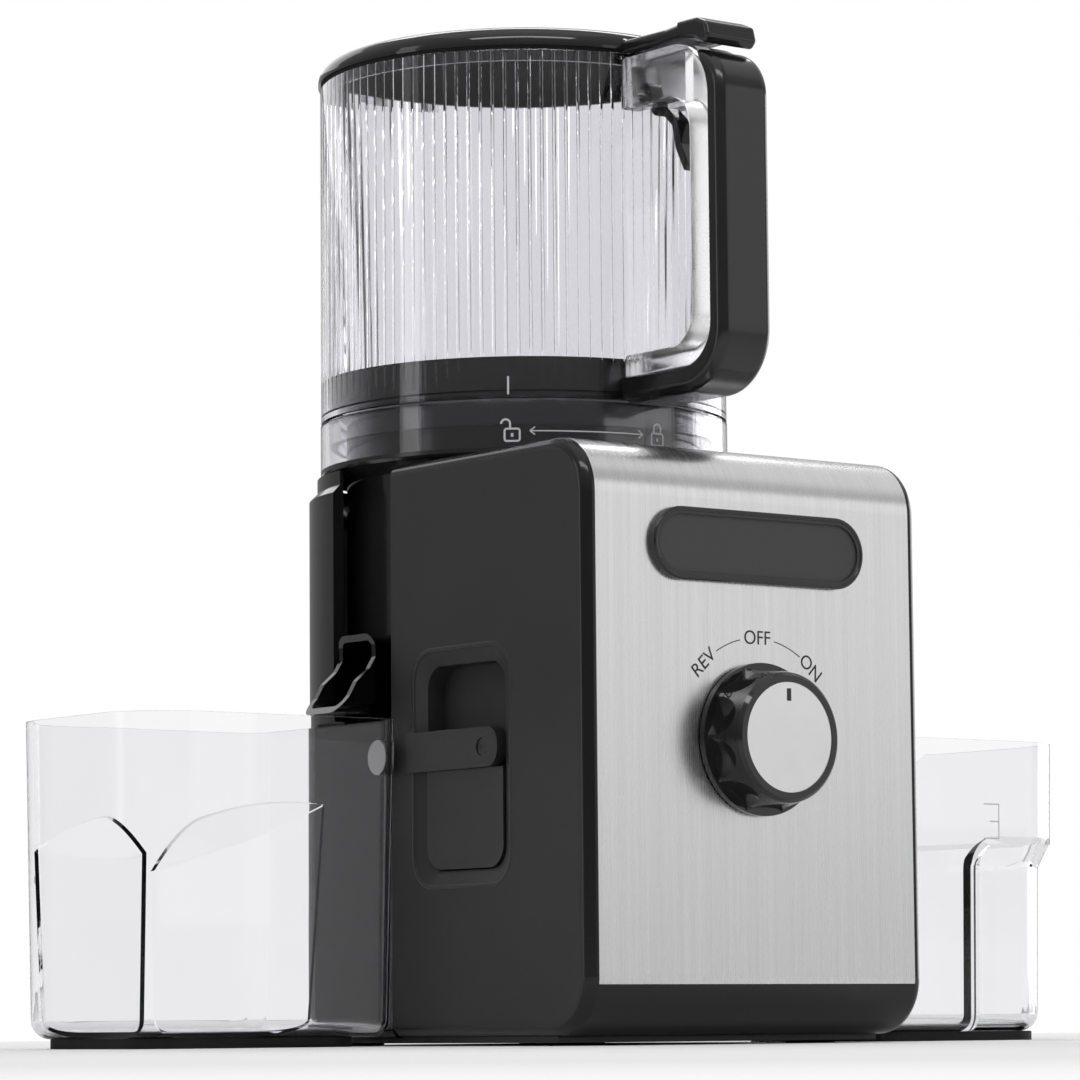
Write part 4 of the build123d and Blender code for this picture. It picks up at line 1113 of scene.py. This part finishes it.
@dataclass
class Hopper:
    """Clear feed hopper with fine upright reeds, its handle and lever."""

    radius: float = 0.0755
    wall: float = 0.003
    low: float = 0.2294
    top: float = 0.356
    spigot_r: float = 0.0724
    spigot_low: float = 0.22
    reeds: int = 104
    reed_height: float = 0.0006
    reed_low: Point2 = (0.2435, 0.2475)
    lug_x: float = 0.012
    lug_half: float = 0.003
    hinge: Point2 = (0.083, 0.36)
    hinge_r: float = 0.004
    lug_root: float = 0.0738
    lug_low: float = 0.35
    lug_drop: float = 0.001
    rim_r: float = 0.0008
    mark_at: float = -41.0
    mark_rise: Point2 = (0.001, 0.0075)
    mark_line: float = 0.0007
    print_depth: float = 0.00005

    def dress(self, finishes: Finishes) -> None:
        """Give the hopper's nodes their finishes.

        Args:
            finishes: the scene's materials.
        """
        dress("hopper", finishes.hopper)
        dress("hopper_floor", finishes.drum)
        dress("handle_frame", finishes.frame)
        dress("handle_grip", finishes.grip)
        dress("release_lever", finishes.gloss)
        for node in ("lever_pin", "lid_hinge_pin"):
            dress(node, finishes.fastener)

    def reed_turns(self) -> list[Point2]:
        """Angles round the wall with the share of a reed's height at each.

        Returns:
            Pairs of an angle and a share.
        """
        pitch = 2.0 * math.pi / self.reeds
        shape = ((-0.5, 0.0), (-0.3, 0.0), (-0.14, 0.0), (-0.08, 0.7), (0.0, 1.0), (0.08, 0.7), (0.14, 0.0),
                 (0.3, 0.0))
        return [((reed + offset) * pitch, share) for reed in range(self.reeds) for offset, share in shape]

    def wall_mesh(self) -> Strip:
        """Turned wall with reeds on its inside.

        Returns:
            The wall's corners and faces.
        """
        inner = self.radius - self.wall
        bore = self.spigot_r - self.wall
        shelf = self.low + self.wall
        soft = self.rim_r
        rings = [(self.radius, self.low, 0.0), (self.radius, self.top - soft, 0.0),
                 (self.radius - soft * 0.3, self.top - soft * 0.3, 0.0), (self.radius - soft, self.top, 0.0),
                 (inner, self.top, 1.0), (inner, self.reed_low[1], 1.0), (inner, self.reed_low[0], 0.0),
                 (inner, shelf, 0.0), (bore, shelf, 0.0), (bore, self.spigot_low, 0.0),
                 (self.spigot_r, self.spigot_low, 0.0), (self.spigot_r, self.low, 0.0)]
        turns = self.reed_turns()
        points: list[Point3] = []
        for reach, height, reeded in rings:
            for turn, share in turns:
                depth = reach - reeded * share * self.reed_height
                points.append((depth * math.sin(turn), AXIS_Y - depth * math.cos(turn), height))
        count = len(turns)
        faces: list[list[int]] = []
        for ring in range(len(rings)):
            here = ring * count
            there = ((ring + 1) % len(rings)) * count
            for step in range(count):
                after = (step + 1) % count
                faces.append([here + step, here + after, there + after, there + step])
        return points, faces

    def lug_mesh(self, side: int) -> Strip:
        """One hinge lug at the back of the wall.

        Args:
            side: -1 or 1.

        Returns:
            The lug's corners and faces.
        """
        y, z = self.hinge
        crest = self.top - self.lug_drop
        outline = [(self.lug_root, self.lug_low), (y + self.hinge_r, self.lug_low)]
        outline += arc(self.hinge_r, 0.0, 180.0, 16, (y, z))
        outline += [(y - self.hinge_r, crest), (self.lug_root, crest)]
        count = len(outline)
        points = [(side * self.lug_x + shift, AXIS_Y + u, v)
                  for shift in (-self.lug_half, self.lug_half) for u, v in outline]
        faces = [list(range(count))[::-1], list(range(count, 2 * count))]
        for step in range(count):
            after = (step + 1) % count
            faces.append([step, after, count + after, count + step])
        return points, faces

    def on_wall(self, u: float, v: float, height: float) -> Point3:
        """Point over the wall, by the arc's length from the front and the height."""
        return round_wall(self.radius, u, v, height)

    def build(self, finishes: Finishes) -> None:
        """Make the reeded wall and the mark that lines up with the collar.

        Args:
            finishes: the scene's materials.
        """
        strips = [self.wall_mesh(), self.lug_mesh(-1), self.lug_mesh(1)]
        wall = mesh_piece("reeded_hopper", *joined(strips), finishes.hopper, 30.0)
        settle(wall, Body.HOPPER, Slot.HOPPER, ["hopper"])
        at = math.radians(self.mark_at) * self.radius
        path = [(at, self.low + rise) for rise in self.mark_rise]
        strip = ribbon(path, self.mark_line, self.print_depth, self.on_wall)
        mark = mesh_piece("hopper_mark", *strip, finishes.white_ink)
        settle(mark, Body.HOPPER, Slot.METAL)


@dataclass
class Lid:
    """Black lid with its thumb tab."""

    def dress(self, finishes: Finishes) -> None:
        """Give the lid's nodes their finishes.

        Args:
            finishes: the scene's materials.
        """
        dress("lid", finishes.gloss)
        dress("lid_gasket", finishes.rubber)


@dataclass
class Containers:
    """Clear containers for pulp and juice."""

    line_x: float = 0.147
    tick: float = 0.0075
    ticks: tuple = (0.0872, 0.0808, 0.0745)
    front_y: float = -0.065
    rim_z: float = 0.111
    draft: float = 0.02095
    line: float = 0.0005
    print_depth: float = 0.00004
    short_tick: float = 0.6

    def on_wall(self, u: float, v: float, height: float) -> Point3:
        """Point over the juice container's front wall."""
        return (u, self.front_y + self.draft * (self.rim_z - v) - PRINT_GAP - height, v)

    def dress(self, finishes: Finishes) -> None:
        """Give the containers' nodes their finishes.

        Args:
            finishes: the scene's materials.
        """
        for name in ("pulp", "juice"):
            dress(name + "_container", finishes.cup)
            dress(name + "_keeper_disc", finishes.keeper)
            # Each foot ring is a dark rubber ring set where the clear foot shows the dark floor's reflection
            # and its shade, so its darkness is painted shade and reflection.
            dress(name + "_foot_ring", finishes.rubber)

    def build(self, finishes: Finishes) -> None:
        """Print the measuring lines.

        Args:
            finishes: the scene's materials.
        """
        rail = [(self.line_x, self.ticks[-1]), (self.line_x, self.ticks[0])]
        strips = [ribbon(rail, self.line, self.print_depth, self.on_wall)]
        for number, height in enumerate(self.ticks):
            reach = self.tick if number % 2 == 0 else self.tick * self.short_tick
            path = [(self.line_x - reach, height), (self.line_x, height)]
            strips.append(ribbon(path, self.line, self.print_depth, self.on_wall))
        piece = mesh_piece("measure_lines", *joined(strips), finishes.white_ink)
        settle(piece, Body.JUICE_CUP, Slot.METAL)


def main() -> None:
    """Build the scene and log the nodes that have no finish."""
    logging.basicConfig(level=logging.INFO, format="%(name)s: %(message)s")
    bpy.context.scene.view_settings.view_transform = "Standard"
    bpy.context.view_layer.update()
    Studio().build()
    finishes = Finishes()
    for part in (Housing(), Dial(), Drum(), Hopper(), Lid(), Containers()):
        part.dress(finishes)
        if hasattr(part, "build"):
            part.build(finishes)
        log.info("dressed %s", type(part).__name__)
    bare = [name for name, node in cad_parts.items() if not node.data.materials]
    log.info("nodes without a finish: %s", bare)


if __name__ == "__main__":
    main()
